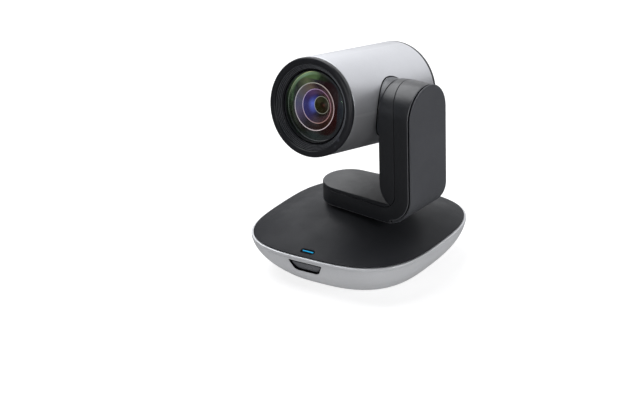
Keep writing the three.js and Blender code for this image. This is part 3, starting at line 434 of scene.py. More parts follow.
# A 2D outline, drawn anticlockwise, pulled along an axis with both rims rounded.
def prism(outline, axis, low, high, edge=0.0, matrix=BASE, steps=4):
    def ring(inset, level):
        return [on_axis(axis, level, x, y) for x, y in outline_inset(outline, inset)]
    if edge == 0:
        return skin([ring(0, low), ring(0, high)], capped=True, matrix=matrix)
    rims = [(edge * (1 - math.sin(a)), edge * (1 - math.cos(a))) for a in quarter_turn(steps)]
    lower = [ring(inset, low + rise) for inset, rise in rims]
    upper = [ring(inset, high - rise) for inset, rise in reversed(rims)]
    return skin(lower + upper, capped=True, matrix=matrix)


def rounded_box(x, y, radius, steps=5):
    return soften([(x[0], y[0], radius), (x[1], y[0], radius), (x[1], y[1], radius),
                   (x[0], y[1], radius)], steps=steps)


# Cuts closed meshes out of another, and gives the result as a new mesh.
def carve(data, cutters):
    target = link_object("target", data)
    tools = []
    for cutter in cutters:
        tool = link_object("cutter", cutter)
        tools.append(tool)
        modifier = target.modifiers.new("cut", "BOOLEAN")
        modifier.operation = "DIFFERENCE"
        modifier.solver = "EXACT"
        modifier.object = tool
    graph = bpy.context.evaluated_depsgraph_get()
    graph.update()
    result = bpy.data.meshes.new_from_object(target.evaluated_get(graph))
    for obj in [target, *tools]:
        bpy.data.objects.remove(obj)
    return result


def merge(meshes):
    edit = bmesh.new()
    for data in meshes:
        edit.from_mesh(data)
    result = bpy.data.meshes.new("merged")
    edit.to_mesh(result)
    edit.free()
    return result


# ---------------------------------------------------------------- base
BASE_LOW, BASE_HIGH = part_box("base_shell")
BASE_HALF_X = BASE_HIGH.x / MM
BASE_HALF_Y = BASE_HIGH.y / MM
RIM_Z = BASE_HIGH.z / MM
BOWL_BOTTOM_Z = BASE_LOW.z / MM
BOWL_BOTTOM_SCALE = 0.73
RIM_EXPONENT = 3.13
BOTTOM_EXPONENT = 2.7
CENTRE_EXPONENT = 2.0
BASE_WALL = 2.2
SEAM_GAP = 0.3
DOME_RISE = 15.1
DOME_POWER = 2.2
DOME_EDGE_SCALE = 0.982
DOME_HOLE_SCALE = 0.18
LIP_HEIGHT = 2.0
BOWL_STEPS = 24
DOME_STEPS = 44
BASE_COUNT = 288
PER_MM = 1 / BASE_HALF_X
WALL_SCALE = BASE_WALL / BASE_HALF_X


def bowl_scale(z):
    return 1 - (1 - BOWL_BOTTOM_SCALE) * ((RIM_Z - z) / RIM_Z) ** 2


def bowl_exponent(z):
    return BOTTOM_EXPONENT + (RIM_EXPONENT - BOTTOM_EXPONENT) * max(0, z) / RIM_Z


def bowl_y(x, z):
    scale, power = bowl_scale(z), bowl_exponent(z)
    return BASE_HALF_Y * scale * (1 - abs(x / (BASE_HALF_X * scale)) ** power) ** (1 / power)


def dome_exponent(scale):
    return CENTRE_EXPONENT + (RIM_EXPONENT - CENTRE_EXPONENT) * scale


def dome_z(scale):
    return RIM_Z + SEAM_GAP + DOME_RISE * (1 - scale ** DOME_POWER)


def rounded_square(scale, z, power):
    ring = []
    for angle in full_turn(BASE_COUNT):
        cos, sin = math.cos(angle), math.sin(angle)
        norm = (abs(cos) ** power + abs(sin) ** power) ** (1 / power)
        ring.append((BASE_HALF_X * scale * cos / norm, BASE_HALF_Y * scale * sin / norm, z))
    return ring


# Steps of a base wall's section, each an inset and a rise in millimetres, as scales and heights.
def section(scale, z, *steps):
    return [(scale - inset * PER_MM, z + rise) for inset, rise in steps]


# The bowl: an outer wall, a lip band above a hairline crease, and an inner wall.
def bowl_mesh():
    lip_z = RIM_Z - LIP_HEIGHT
    wall_levels = [BOWL_BOTTOM_Z + 0.4 + (lip_z - 0.5 - BOWL_BOTTOM_Z) * i / BOWL_STEPS
                   for i in range(BOWL_STEPS + 1)]
    bottom = bowl_scale(BOWL_BOTTOM_Z)
    outer = section(bottom, BOWL_BOTTOM_Z, (0.9, 0), (0.4, 0), (0.1, 0.12))
    outer += [(bowl_scale(z), z) for z in wall_levels]
    outer += section(bowl_scale(lip_z), lip_z, (0.22, -0.02))
    outer += section(1, lip_z, (0.02, 0.12), (0, 0.35))
    outer += section(1, RIM_Z, (0, -0.6), (0.06, -0.3), (0.22, -0.09), (0.5, 0), (1, 0))
    inner = [(1 - WALL_SCALE, RIM_Z)] + [(bowl_scale(z) - WALL_SCALE, z) for z in wall_levels[::-4]]
    inner += [(bottom - WALL_SCALE, BOWL_BOTTOM_Z)]
    rings = [rounded_square(scale, z, bowl_exponent(z)) for scale, z in outer + inner]
    return skin(rings, closed=True)


# The infrared window is a trapezoid with its lower corners rounded.
WINDOW_X = -1.9
WINDOW_Z = (14.2, 22.3)
WINDOW_HALVES = (9.0, 13.0)
WINDOW_RADII = (3.4, 4.8, 0.6)
WINDOW_SIDE_PARTS = 16
WINDOW_RECESS = 1.5
WINDOW_THICKNESS = 1.6
FRAME_WIDTH = 0.9


def window_outline(inset):
    low, high = WINDOW_Z[0] + inset, WINDOW_Z[1] - inset
    bottom, top = WINDOW_HALVES[0] - inset, WINDOW_HALVES[1] - inset
    left_radius, right_radius, top_radius = WINDOW_RADII
    return subdivide(soften([
        (WINDOW_X - bottom, low, left_radius), (WINDOW_X + bottom, low, right_radius),
        (WINDOW_X + top, high, top_radius), (WINDOW_X - top, high, top_radius)]),
        WINDOW_SIDE_PARTS)


# The pocket at the back holds the sockets. The cutters of both openings pass through the wall.
POCKET_X = (-22, 22)
POCKET_Z = (8.2, 19.5)
POCKET_RADIUS = 2.0
WINDOW_CUT_Y = (-75, -50)
POCKET_CUT_Y = (40, 75)

finish_piece(
    "bowl",
    carve(bowl_mesh(), [
        prism(window_outline(0), "Y", *WINDOW_CUT_Y),
        prism(rounded_box(POCKET_X, POCKET_Z, POCKET_RADIUS), "Y", *POCKET_CUT_Y),
    ]),
    BOWL_SILVER, "base", ["base_shell"])

LIGHT_X = -2.6
LIGHT_Y = -59.6
LIGHT_SLOT = ((LIGHT_X - 5.3, LIGHT_X + 5.3), (LIGHT_Y - 1.8, LIGHT_Y + 1.8))
LIGHT_SLOT_RADIUS = 1.75
LIGHT_CUT_Z = (15, 40)
LIGHT_SINK = 0.45
LIGHT_BAR = ((-4.1, 4.1), (0.2, 1.0), 0.35)
LIGHT_WELL = ((-5.15, 5.15), (-1.6, 1.6), 1.5)


def dome_mesh():
    edge = DOME_EDGE_SCALE
    low = RIM_Z + SEAM_GAP
    start = edge - 0.9 * PER_MM
    scales = [start - (start - DOME_HOLE_SCALE) * i / DOME_STEPS for i in range(DOME_STEPS + 1)]
    outer = section(edge, low, (0.5, 0), (0.12, 0.1), (0, 0.35), (0.12, 0.62), (0.45, 0.78))
    outer += [(scale, max(dome_z(scale), low + 0.86)) for scale in scales]
    inner = [(scale, dome_z(scale) - BASE_WALL) for scale in scales[:3:-3]]
    inner += [(edge - WALL_SCALE, low)]
    rings = [rounded_square(scale, z, dome_exponent(scale)) for scale, z in outer + inner]
    return skin(rings, closed=True)


finish_piece(
    "dome_cover",
    carve(dome_mesh(), [prism(rounded_box(*LIGHT_SLOT, LIGHT_SLOT_RADIUS), "Z", *LIGHT_CUT_Z)]),
    DOME_BLACK, "base", ["base_top_cover"])


# An outline in X and Z laid on the bowl's front wall, at a depth below its face.
def on_bowl(outline, depth):
    return [(x, depth - bowl_y(x, z), z) for x, z in outline]


def shrunk(outline, share):
    middle = Vector((sum(p[0] for p in outline), sum(p[1] for p in outline))) / len(outline)
    return [tuple(middle + (Vector(point) - middle) * share) for point in outline]


def window_mesh():
    face = window_outline(FRAME_WIDTH + 0.05)
    softer = window_outline(FRAME_WIDTH + 0.3)
    back = WINDOW_RECESS + WINDOW_THICKNESS
    rings = [on_bowl(shrunk(face, share), back) for share in (0, 0.5, 1)]
    rings += [on_bowl(face, WINDOW_RECESS + 0.25)]
    rings += [on_bowl(shrunk(softer, share), WINDOW_RECESS) for share in (1, 0.8, 0.5, 0.25, 0)]
    return skin(rings)


# The frame lining the window's opening is near-black: painted shade in the recess.
def window_frame_mesh():
    outer, inner = window_outline(0.02), window_outline(FRAME_WIDTH)
    rows = [(outer, 0.3), (inner, 0.3), (inner, WINDOW_RECESS + 1), (outer, WINDOW_RECESS + 1)]
    return skin([on_bowl(outline, depth) for outline, depth in rows], closed=True)


finish_piece("infrared_window_pane", window_mesh(), WINDOW, "base",
             ["ir_window"])
finish_piece("infrared_window_frame", window_frame_mesh(), RECESS_SHADE_BLACK, "base")

# The light bar lies in its slot, just below the dome's slope, over a well painted near-black as
# shade.
light_scale = -LIGHT_Y / BASE_HALF_Y
light_slope = math.atan(DOME_RISE * DOME_POWER * light_scale ** (DOME_POWER - 1) / BASE_HALF_Y)
light_place = Matrix.Translation((LIGHT_X, LIGHT_Y, dome_z(light_scale) - LIGHT_SINK))
light_place = light_place @ Matrix.Rotation(light_slope, 4, "X")
finish_piece(
    "status_light_bar",
    prism(rounded_box(*LIGHT_BAR), "Z", -0.3, 0, 0.1, light_place),
    LIGHT, "base", ["status_light_pipe"])
finish_piece(
    "status_light_well",
    prism(rounded_box(*LIGHT_WELL), "Z", -1.6, -0.35, 0.1, light_place),
    RECESS_SHADE_BLACK, "base")


# ---------------------------------------------------------------- underside
SCREWS = [f"base_screw_{i}" for i in range(1, 5)]
FEET = [f"foot_pad_{i}" for i in range(1, 5)]
SCREW_SHANK = 1.5
SCREW_HEAD_TOP_Z = 2.3
SCREW_CROSS = (1.6, 0.35)
SCREW_TURN = 20 * DEGREE
INSERT_RADIUS = 6
THREAD_RADIUS = 3.1
THREAD_PITCH = 0.9
FLANGE_Z = (3.8, 5.1)
THROUGH_Z = (-1, 9)


# An upright round CAD node as its middle in X and Y, its radius, and its lowest and highest Z.
def round_node(name):
    low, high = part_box(name)
    middle = (low + high) / 2 / MM
    return middle.x, middle.y, (high.x - low.x) / 2 / MM, low.z / MM, high.z / MM


# The bottom plate, with a countersunk hole at each screw, a groove round each foot and a hole for
# the insert.
def plate_mesh():
    low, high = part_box("bottom_plate")
    scale = high.x / MM / BASE_HALF_X
    low_z, high_z = low.z / MM, high.z / MM
    levels = section(scale, low_z, (1.1, 0), (0.45, 0), (0.12, 0.12), (0, 0.45))
    levels += [(scale, high_z)]
    plate = skin([rounded_square(share, z, bowl_exponent(low_z)) for share, z in levels],
                 capped=True)
    below, above = THROUGH_Z
    seat, shank = SCREW_HEAD_TOP_Z + 0.05, SCREW_SHANK + 0.3
    cutters = []
    for name in SCREWS:
        x, y, radius, _, _ = round_node(name)
        cutters.append(lathe([(0, below), (radius + 0.6, below), (radius + 0.3, seat),
                              (shank, seat), (shank, above), (0, above)],
                             "Z", (x, y, 0), count=48))
    for name in FEET:
        x, y, radius, _, _ = round_node(name)
        cutters.append(lathe([(radius + 0.4, below), (radius + 1.1, below),
                              (radius + 1.0, low_z + 0.3), (radius + 0.5, low_z + 0.3)],
                             "Z", (x, y, 0), count=96))
    bore = INSERT_RADIUS + 0.3
    cutters.append(lathe([(0, below), (INSERT_RADIUS + 0.9, below), (bore, low_z + 0.5),
                          (bore, above), (0, above)], "Z", count=96))
    return carve(plate, cutters)


def foot_mesh(name):
    x, y, radius, low, high = round_node(name)
    return lathe([(0, low + 0.18), (radius - 2.4, low + 0.18, 0.2), (radius - 2.0, low, 0.15),
                  (radius - 0.1, low, 0.4), (radius, high, 0.1), (0, high)],
                 "Z", (x, y, 0), count=96)


def screw_mesh(name):
    x, y, radius, low, high = round_node(name)
    body = lathe([(0, low), (radius, low, 0.55), (radius, SCREW_HEAD_TOP_Z, 0.1),
                  (SCREW_SHANK, SCREW_HEAD_TOP_Z), (SCREW_SHANK, high - 1, 0.2), (0, high)],
                 "Z", (x, y, 0), count=64)
    place = Matrix.Translation((x, y, 0)) @ Matrix.Rotation(SCREW_TURN, 4, "Z")
    cross = [prism(rounded_box((-a, a), (-b, b), 0.15), "Z", 0, low + 0.6, 0, place)
             for a, b in (SCREW_CROSS, SCREW_CROSS[::-1])]
    return carve(body, cross)


def insert_mesh():
    _, _, flange, low, high = round_node("tripod_insert")
    corners = [(flange, FLANGE_Z[0], 0.1), (flange, FLANGE_Z[1], 0.1),
               (INSERT_RADIUS - 1, high, 0.3)]
    level = high
    while level > low + 1.2:
        corners += [(THREAD_RADIUS + 0.25, level), (THREAD_RADIUS, level - THREAD_PITCH / 2)]
        level -= THREAD_PITCH
    corners += [(THREAD_RADIUS + 0.5, low, 0.1), (INSERT_RADIUS, low, 0.25),
                (INSERT_RADIUS, FLANGE_Z[0])]
    return lathe(corners, "Z", count=96)


finish_piece("base_bottom_plate", plate_mesh(), BLACK, "base", ["bottom_plate"])
for name in FEET:
    finish_piece("rubber_" + name, foot_mesh(name), RUBBER, "base", [name])
for name in SCREWS:
    finish_piece("steel_" + name, screw_mesh(name), STEEL, "base", [name])
finish_piece("threaded_tripod_insert", insert_mesh(), BRASS, "base", ["tripod_insert"])


# ---------------------------------------------------------------- arm
ARM_OUTER_X = 56.1
ARM_INNER_X = 31.4
ARM_HALF_Y = 20.5
ARM_WALL = 1.8
CASE_RIM = 0.7
CASE_SEAM_RIM = 0.3
CASE_SEAM_GAP = 0.22
SLAB_BOTTOM_Z = 42.2
SLAB_TOP_Z = 55.3
SLAB_END_X = -7.3
SLAB_END_RADIUS = 17.6
SLAB_TIP_X = SLAB_END_X - SLAB_END_RADIUS
ARM_CORNER_RADIUS = 20
ARM_SEAM_X = 43.4
ARM_SEAM_Z = 52.8
ARM_SEAM_RADIUS = 10
NOTCH_X = 38.3
NOTCH_FILLET = 1.0
NOTCH_ARC_RADIUS = 17
NOTCH_ARC_Z = 69
NOTCH_ARC_STEPS = 24
UPRIGHT_Z = 75
COVER_THICKNESS = 1.7
COVER_RIM = 0.35
COVER_FLANGE = 0.6
COVER_NECK_INSET = 1.5
COVER_START = 2 + 12 / 90
STEP_PLACE = COVER_START - 0.02
SEAM_LEAN = 5.0
TOP_SAG = 1.0
NEARLY_NONE = 1e-6
TILT_HOLE_RADIUS = 8
PAN_HOLE_RADIUS = 10.6


# The arm is one strip laid along the slab and bent up into the upright. A path gives a point in X
# and Z for each place along it: 0 the slab's tip, 2 to 3 the bend, 5 the tilt axis, 6 the top.
def strip_path(x, z, radius):
    def point(t):
        if t < 1:
            return Vector((SLAB_TIP_X + SLAB_END_RADIUS * t, z))
        if t < 2:
            return Vector((SLAB_END_X + (x - radius - SLAB_END_X) * (t - 1), z))
        if t < 3:
            angle = (t - 2) * math.pi / 2
            return Vector((x - radius + radius * math.sin(angle),
                           z + radius - radius * math.cos(angle)))
        if t < 4:
            return Vector((x, z + radius + (UPRIGHT_Z - z - radius) * (t - 3)))
        if t < 5:
            return Vector((x, UPRIGHT_Z + (TILT_Z - UPRIGHT_Z) * (t - 4)))
        return Vector((x, TILT_Z + ARM_HALF_Y * (t - 5)))
    return point


def outer_path(depth):
    return strip_path(ARM_OUTER_X - depth, SLAB_BOTTOM_Z + depth, ARM_CORNER_RADIUS - depth)


# The upright's inner face sweeps outwards at its foot, so that the slab's lid runs in under it.
@functools.cache
def notched_path():
    centre_x = ARM_INNER_X + NOTCH_ARC_RADIUS
    lowest = math.acos((centre_x - NOTCH_X) / NOTCH_ARC_RADIUS)
    arc = []
    for i in range(NOTCH_ARC_STEPS + 1):
        angle = lowest * (1 - i / NOTCH_ARC_STEPS)
        arc.append((centre_x - NOTCH_ARC_RADIUS * math.cos(angle),
                    NOTCH_ARC_Z - NOTCH_ARC_RADIUS * math.sin(angle)))
    start = (ARM_SEAM_X - ARM_SEAM_RADIUS, SLAB_TOP_Z)
    foot = soften([start, (NOTCH_X, SLAB_TOP_Z, NOTCH_FILLET), arc[1]], closed=False, steps=8)
    middle = len(foot) // 2
    lid, rise = chain(foot[:middle + 1]), chain(foot[middle:-1] + arc[1:])
    plain = strip_path(ARM_INNER_X, SLAB_TOP_Z, 0)

    def point(t):
        if t < 1 or t >= 4:
            return plain(t)
        if t < 2:
            return Vector((SLAB_END_X + (start[0] - SLAB_END_X) * (t - 1), SLAB_TOP_Z))
        if t < 2.5:
            return lid((t - 2) * 2)
        if t < 3:
            return rise((t - 2.5) * 2)
        return Vector((ARM_INNER_X, NOTCH_ARC_Z + (UPRIGHT_Z - NOTCH_ARC_Z) * (t - 3)))
    return point


# A chain of points walked at an even pace from 0 to 1.
def chain(points):
    points = [Vector(p) for p in points]
    marks = [0]
    for a, b in zip(points, points[1:]):
        marks.append(marks[-1] + (b - a).length)

    def point(share):
        along = share * marks[-1]
        for i in range(len(points) - 1):
            if along <= marks[i + 1] or i == len(points) - 2:
                return points[i].lerp(points[i + 1], (along - marks[i]) / (marks[i + 1] - marks[i]))
    return point


# The seam leans inwards over the round top.
def seam_face(t):
    point = strip_path(ARM_SEAM_X, ARM_SEAM_Z, ARM_SEAM_RADIUS)(t)
    point.x -= SEAM_LEAN * max(0, t - 5) ** 1.5
    return point


# The inner case's round top is a little flatter than the outer one's.
def inner_face(t):
    point = notched_path()(t)
    point.y -= TOP_SAG * max(0, t - 5) ** 4
    return point


OUTER_FACE = outer_path(0)
COVER_BACK = outer_path(COVER_THICKNESS)
LEDGE_FACE = outer_path(COVER_THICKNESS + SEAM_GAP)


# The outer case steps down to a ledge where the side cover starts.
def stepped_face(t):
    return (OUTER_FACE if t < STEP_PLACE else LEDGE_FACE)(t)


def half_width(x):
    share = min(1, max(0, (x - SLAB_END_X) / (ARM_INNER_X - SLAB_END_X)))
    return SLAB_END_RADIUS + (ARM_HALF_Y - SLAB_END_RADIUS) * share


END_ANGLES = quarter_turn(26)
SIDE_STOPS = sorted(
    [1 + i / 8 for i in range(1, 8)] + [2 + i / 36 for i in range(37)]
    + [STEP_PLACE - 0.0002, STEP_PLACE + 0.0002] + [3.33, 3.67, 4, 4.25, 4.5, 4.75])


# One side of the strip's outline, from its low end to its top: (place, half width or None).
def strip_side(inset, share, start):
    stops = []
    if start < 1:
        radius = (SLAB_END_RADIUS - inset) * share
        stops += [(1 - radius * math.cos(a) / SLAB_END_RADIUS, radius * math.sin(a))
                  for a in END_ANGLES]
    else:
        stops += [(start, 0), (start, None)]
    stops += [(t, None) for t in SIDE_STOPS if t > start]
    radius = (ARM_HALF_Y - inset) * share
    stops += [(5 + radius * math.sin(a) / ARM_HALF_Y, radius * math.cos(a)) for a in END_ANGLES]
    return stops


# A layer of the arm. Each step of its profile gives the outline's inset, the share of the width
# that is left, and the depth below the layer's top face, counted up from the bottom if negative.
def strip_layer(top, bottom, profile, start=0, closed=False):
    rings = []
    for inset, share, depth in profile:
        side = []
        for t, half in strip_side(inset, share, start):
            high, low = top(t), bottom(t)
            reach = (low - high).length
            along = min(depth, reach - SEAM_GAP / 2) if depth >= 0 else reach + depth
            x, z = high + (low - high) * (along / reach)
            side.append((x, (half_width(x) - inset) * share if half is None else half, z))
        rings.append(side + [(x, -y, z) for x, y, z in reversed(side[1:-1])])
    return skin(rings, closed=closed, matrix=ARM)


# The steps of a rounded rim, inward or outward. depth_at gives the depth at a rise above it.
def round_over(radius, inward, depth_at):
    turns = quarter_turn(4)
    if not inward:
        turns.reverse()
    return [(radius * (1 - math.cos(a)), 1, depth_at(radius * (1 - math.sin(a)))) for a in turns]


# A tray: a face with a rounded rim, walls down to the seam, and the hollow behind.
def case_profile():
    rim = [(0, 0, 0), (CASE_RIM + 0.6, 1, 0)]
    rim += round_over(CASE_RIM, False, lambda rise: rise)
    low = CASE_SEAM_GAP / 2
    rim += round_over(CASE_SEAM_RIM, True, lambda rise: -(low + rise))
    return rim + [(ARM_WALL, 1, -low), (ARM_WALL, 1, ARM_WALL), (ARM_WALL, 0, ARM_WALL)]


def arm_cutter(radius, axis, low, high, centre):
    return lathe([(0, low), (radius, low), (radius, high), (0, high)], axis, centre, ARM, 64)


TILT_HOLE = arm_cutter(TILT_HOLE_RADIUS, "X", 25, 40, (0, 0, TILT_Z))
PAN_HOLE = arm_cutter(PAN_HOLE_RADIUS, "Z", 30, 45, (0, 0, 0))
inner_shell = carve(strip_layer(inner_face, seam_face, case_profile()), [TILT_HOLE])
finish_piece("arm_inner_case", inner_shell, BLACK, "arm", ["arm_inner_shell"])
outer_shell = carve(strip_layer(stepped_face, seam_face, case_profile()), [PAN_HOLE])
finish_piece("arm_outer_case", outer_shell, BLACK, "arm", ["arm_outer_shell"])
# A fine light-grey ribbon lies on the rim of the outer case, next to the side cover's gap: a
# painted highlight.
edge_highlight_profile = [(0.03, 1, 0.38), (0.14, 1, 0.14), (0.38, 1, 0.03), (0.42, 1, 0.2), (0.2, 1, 0.42)]
finish_piece("arm_case_edge_highlight", strip_layer(stepped_face, seam_face, edge_highlight_profile, closed=True),
             CASE_EDGE_HIGHLIGHT_GREY, "arm")


# The side cover is a thin plate on a narrower neck, so a dark gap runs round behind its rim.
def cover_profile():
    rim = [(0, 0, 0), (COVER_RIM + 0.6, 1, 0)]
    rim += round_over(COVER_RIM, False, lambda rise: rise)
    rim += [(0, 1, COVER_FLANGE), (COVER_NECK_INSET, 1, COVER_FLANGE + 0.1)]
    return rim + [(COVER_NECK_INSET, 1, -NEARLY_NONE), (0, 0, -NEARLY_NONE)]


side_panel = strip_layer(OUTER_FACE, COVER_BACK, cover_profile(), COVER_START)
finish_piece("arm_side_panel", side_panel, COVER_GREY, "arm",
             ["arm_side_cover"])

# ---------------------------------------------------------------- barrel
BARREL_X = -2.2
BARREL_RADIUS = 32.2
BARREL_WALL = 2.0
BARREL_FRONT_Y = -48.5
BARREL_REAR_Y = 49.2
BEZEL_BAND = 3.6
REAR_CAP_BAND = 2.3
REAR_PLUG_DEPTH = 6
PLUG_RADIUS = BARREL_RADIUS - BARREL_WALL - SEAM_GAP
HUB_RADIUS = 19.15
HUB_EDGE = 0.8
HUB_SHADOW_WIDTH = 0.6
HUB_FACE_X = 31.0
HUB_BORE = 6.3
HUB_COUNT = 160
HUB_CUT_X = (15, 40)
SPIGOT_RADIUS = 11.2
SPIGOT_END_X = 24
BARREL_CENTRE = (BARREL_X, 0, 0)


def barrel_tube():
    front = BARREL_FRONT_Y + BEZEL_BAND + SEAM_GAP
    rear = BARREL_REAR_Y - REAR_CAP_BAND - SEAM_GAP
    inner = BARREL_RADIUS - BARREL_WALL
    tube = lathe([(inner, front), (BARREL_RADIUS, front, 0.3), (BARREL_RADIUS, rear, 0.3),
                  (inner, rear)], "Y", BARREL_CENTRE, HEAD, 224)
    low, high = HUB_CUT_X
    bore = SPIGOT_RADIUS + SEAM_GAP
    hole = lathe([(0, low), (bore, low), (bore, high), (0, high)], "X", (0, 0, 0), HEAD, 64)
    return carve(tube, [hole])


finish_piece("barrel_tube", barrel_tube(), SILVER, "head", ["barrel_shell"])


# A ring round the tilt axis, at one place along it or on the barrel's curve.
def hub_ring(radius, x=None, clearance=0.0, lift=0.0):
    points = []
    for angle in full_turn(HUB_COUNT):
        y, z = radius * math.cos(angle), radius * math.sin(angle)
        side = BARREL_X + math.sqrt((BARREL_RADIUS + clearance) ** 2 - z * z) + lift
        points.append((side if x is None else x, y, z))
    return points


# The hub is a round boss whose inner end follows the barrel's curve.
def hub_mesh():
    rings = [hub_ring(HUB_BORE, HUB_FACE_X), hub_ring(HUB_RADIUS - HUB_EDGE - 0.5, HUB_FACE_X)]
    rings += [hub_ring(HUB_RADIUS - HUB_EDGE * (1 - math.sin(a)),
                       HUB_FACE_X - HUB_EDGE * (1 - math.cos(a))) for a in quarter_turn(5)]
    rings += [hub_ring(radius, clearance=SEAM_GAP)
              for radius in (HUB_RADIUS, 18, 15, SPIGOT_RADIUS + 0.02)]
    rings += [hub_ring(SPIGOT_RADIUS, SPIGOT_END_X), hub_ring(HUB_BORE, SPIGOT_END_X)]
    return skin(rings, closed=True, matrix=HEAD)


# A near-black ring stands just off the barrel's curve round the foot of the hub: painted shade for
# the shadow gap there.
def hub_painted_shadow_mesh():
    inner, outer = HUB_RADIUS + 0.03, HUB_RADIUS + HUB_SHADOW_WIDTH
    profile = ((inner, 0.03), (outer, 0.03), (outer, 0.1), (outer - 0.1, 0.2), (inner, 0.2))
    return skin([hub_ring(radius, lift=lift) for radius, lift in profile], closed=True,
                matrix=HEAD)


finish_piece("tilt_hub_boss", hub_mesh(), BLACK, "head", ["tilt_hub"])
finish_piece("tilt_hub_painted_shadow", hub_painted_shadow_mesh(), RECESS_SHADE_BLACK, "head")

BEZEL_REAR_Y = -38.5
BEZEL_BORE = 24.2
BEZEL_CROWN = 30.2
RIB_OUTER = 28.0
RIB_COUNT = 5
RIB_DEPTH = 0.75
RIB_TREAD = (RIB_OUTER - BEZEL_BORE) / RIB_COUNT
RIB_START_Y = BARREL_FRONT_Y + 0.5


# The bezel steps down to the front glass in ribs.
def bezel_mesh():
    front = BARREL_FRONT_Y
    band = front + BEZEL_BAND
    corners = [(PLUG_RADIUS, BEZEL_REAR_Y), (PLUG_RADIUS, band), (BARREL_RADIUS, band, 0.2),
               (BARREL_RADIUS, front + 0.5, 1.4), (BEZEL_CROWN, front, 2.0),
               (RIB_OUTER + 0.3, front, 0.25)]
    level = RIB_START_Y
    for rib in range(RIB_COUNT):
        radius = RIB_OUTER - rib * RIB_TREAD
        corners += [(radius, level, 0.1), (radius, level + RIB_DEPTH, 0.1)]
        level += RIB_DEPTH
    corners += [(BEZEL_BORE, level, 0.15), (BEZEL_BORE, BEZEL_REAR_Y)]
    return lathe(corners, "Y", BARREL_CENTRE, HEAD, 192)


# The crest of each rib carries a fine bright line, a painted highlight.
def rib_crest_highlights_mesh():
    crests = []
    for rib in range(1, RIB_COUNT):
        radius = RIB_OUTER - rib * RIB_TREAD
        level = RIB_START_Y + rib * RIB_DEPTH
        crests.append(lathe([(radius, level - 0.05), (radius + 0.2, level - 0.05),
                             (radius + 0.2, level + 0.05), (radius, level + 0.05)],
                            "Y", BARREL_CENTRE, HEAD, 128))
    return merge(crests)


finish_piece("lens_bezel", bezel_mesh(), BEZEL_BLACK, "head", ["front_bezel"],
             sharp=25)
finish_piece("bezel_rib_crest_highlights", rib_crest_highlights_mesh(), RIB_CREST_HIGHLIGHT_GREY, "head")


# The rear cap has a hollow plug, a groove near its rim and a shallow round recess in its middle.
def rear_cap_mesh():
    rear = BARREL_REAR_Y
    band, end = rear - REAR_CAP_BAND, rear - REAR_PLUG_DEPTH
    groove, recess = rear - 0.5, rear - 0.35
    corners = [(0, band), (PLUG_RADIUS - 3, band), (PLUG_RADIUS - 3, end), (PLUG_RADIUS, end),
               (PLUG_RADIUS, band), (BARREL_RADIUS, band, 0.2), (BARREL_RADIUS, rear, 1.1),
               (27.5, rear, 0.2), (27.1, groove, 0.2), (26.3, groove, 0.2), (25.9, rear, 0.2),
               (25.5, rear), (9.3, rear), (9, rear, 0.1), (8.6, recess, 0.1), (8.3, recess),
               (0, recess)]
    return lathe(corners, "Y", BARREL_CENTRE, HEAD, 192)


finish_piece("barrel_rear_cap", rear_cap_mesh(), BLACK, "head", ["rear_cap"])


# ---------------------------------------------------------------- lens
# The lens is drawn about its own Z, which points out of the barrel's front: X to its right, Y up.
LENS = HEAD @ Matrix.Translation(BARREL_CENTRE) @ Matrix.Rotation(math.pi / 2, 4, "X")
LENS_METRES = LENS.copy()
LENS_METRES.translation = LENS.translation * MM
GLASS_RADIUS = 22.4
GLASS_EDGE = 43.3
GLASS_BULGE = 3.3
GLASS_THICKNESS = 0.9
GLASS_COUNT = 160
# The zones behind the glass, coloured partly with the coatings' tint and partly with painted
# reflections: the radius and height of each of their edges.
CORE_OUTER = (22.4, 40.8)
CORE_RINGS = ((15.3, 43.3), (11.0, 40.8), (5.6, 35.4))
CORE_MIDDLE = (0, 34.6)
CORE_BULGE = 0.3
CORE_STEPS = 10
CORE_THICKNESS = 0.4
CORE_COUNT = 128


def glass_mesh():
    radii = [GLASS_RADIUS * math.sin(a) for a in quarter_turn(16)]
    front = [(r, GLASS_EDGE + GLASS_BULGE * (1 - (r / GLASS_RADIUS) ** 2)) for r in radii]
    back = [(r, level - GLASS_THICKNESS) for r, level in reversed(front)]
    return skin([circle(r, level, "Z", GLASS_COUNT) for r, level in front + back])


# The face of the inner glasses, one zone behind another, as it looks through the front glass.
def zone_mesh(outer, inner, bulge=CORE_BULGE):
    rows = []
    for i in range(CORE_STEPS + 1):
        share = i / CORE_STEPS
        radius = outer[0] + (inner[0] - outer[0]) * share
        level = outer[1] + (inner[1] - outer[1]) * share + bulge * math.sin(math.pi * share)
        rows.append((radius, level))
    rows += [(radius, level - CORE_THICKNESS) for radius, level in reversed(rows)]
    return skin([circle(r, level, "Z", CORE_COUNT) for r, level in rows], closed=inner[0] > 0)


def rim_mesh(radius, level, thickness):
    return skin([circle(radius + thickness * math.cos(a), level + 0.2 + thickness * math.sin(a),
                        "Z", GLASS_COUNT) for a in full_turn(12)], closed=True)


def in_lens_frame(name, data, material, replaced=()):
    piece = finish_piece(name, data, material, "head", replaced)
    piece.matrix_world = LENS_METRES


# How far out a point of the lens lies: a circle's radius for power 2, squarer for a higher power.
def lens_distance(tree, where, power):
    raised = []
    for axis in ("X", "Y"):
        size = maths(tree, "ABSOLUTE", add_node(tree, "SeparateXYZ", {0: where}, axis))
        raised.append(maths(tree, "POWER", size, power))
    return maths(tree, "POWER", maths(tree, "ADD", *raised), 1 / power)


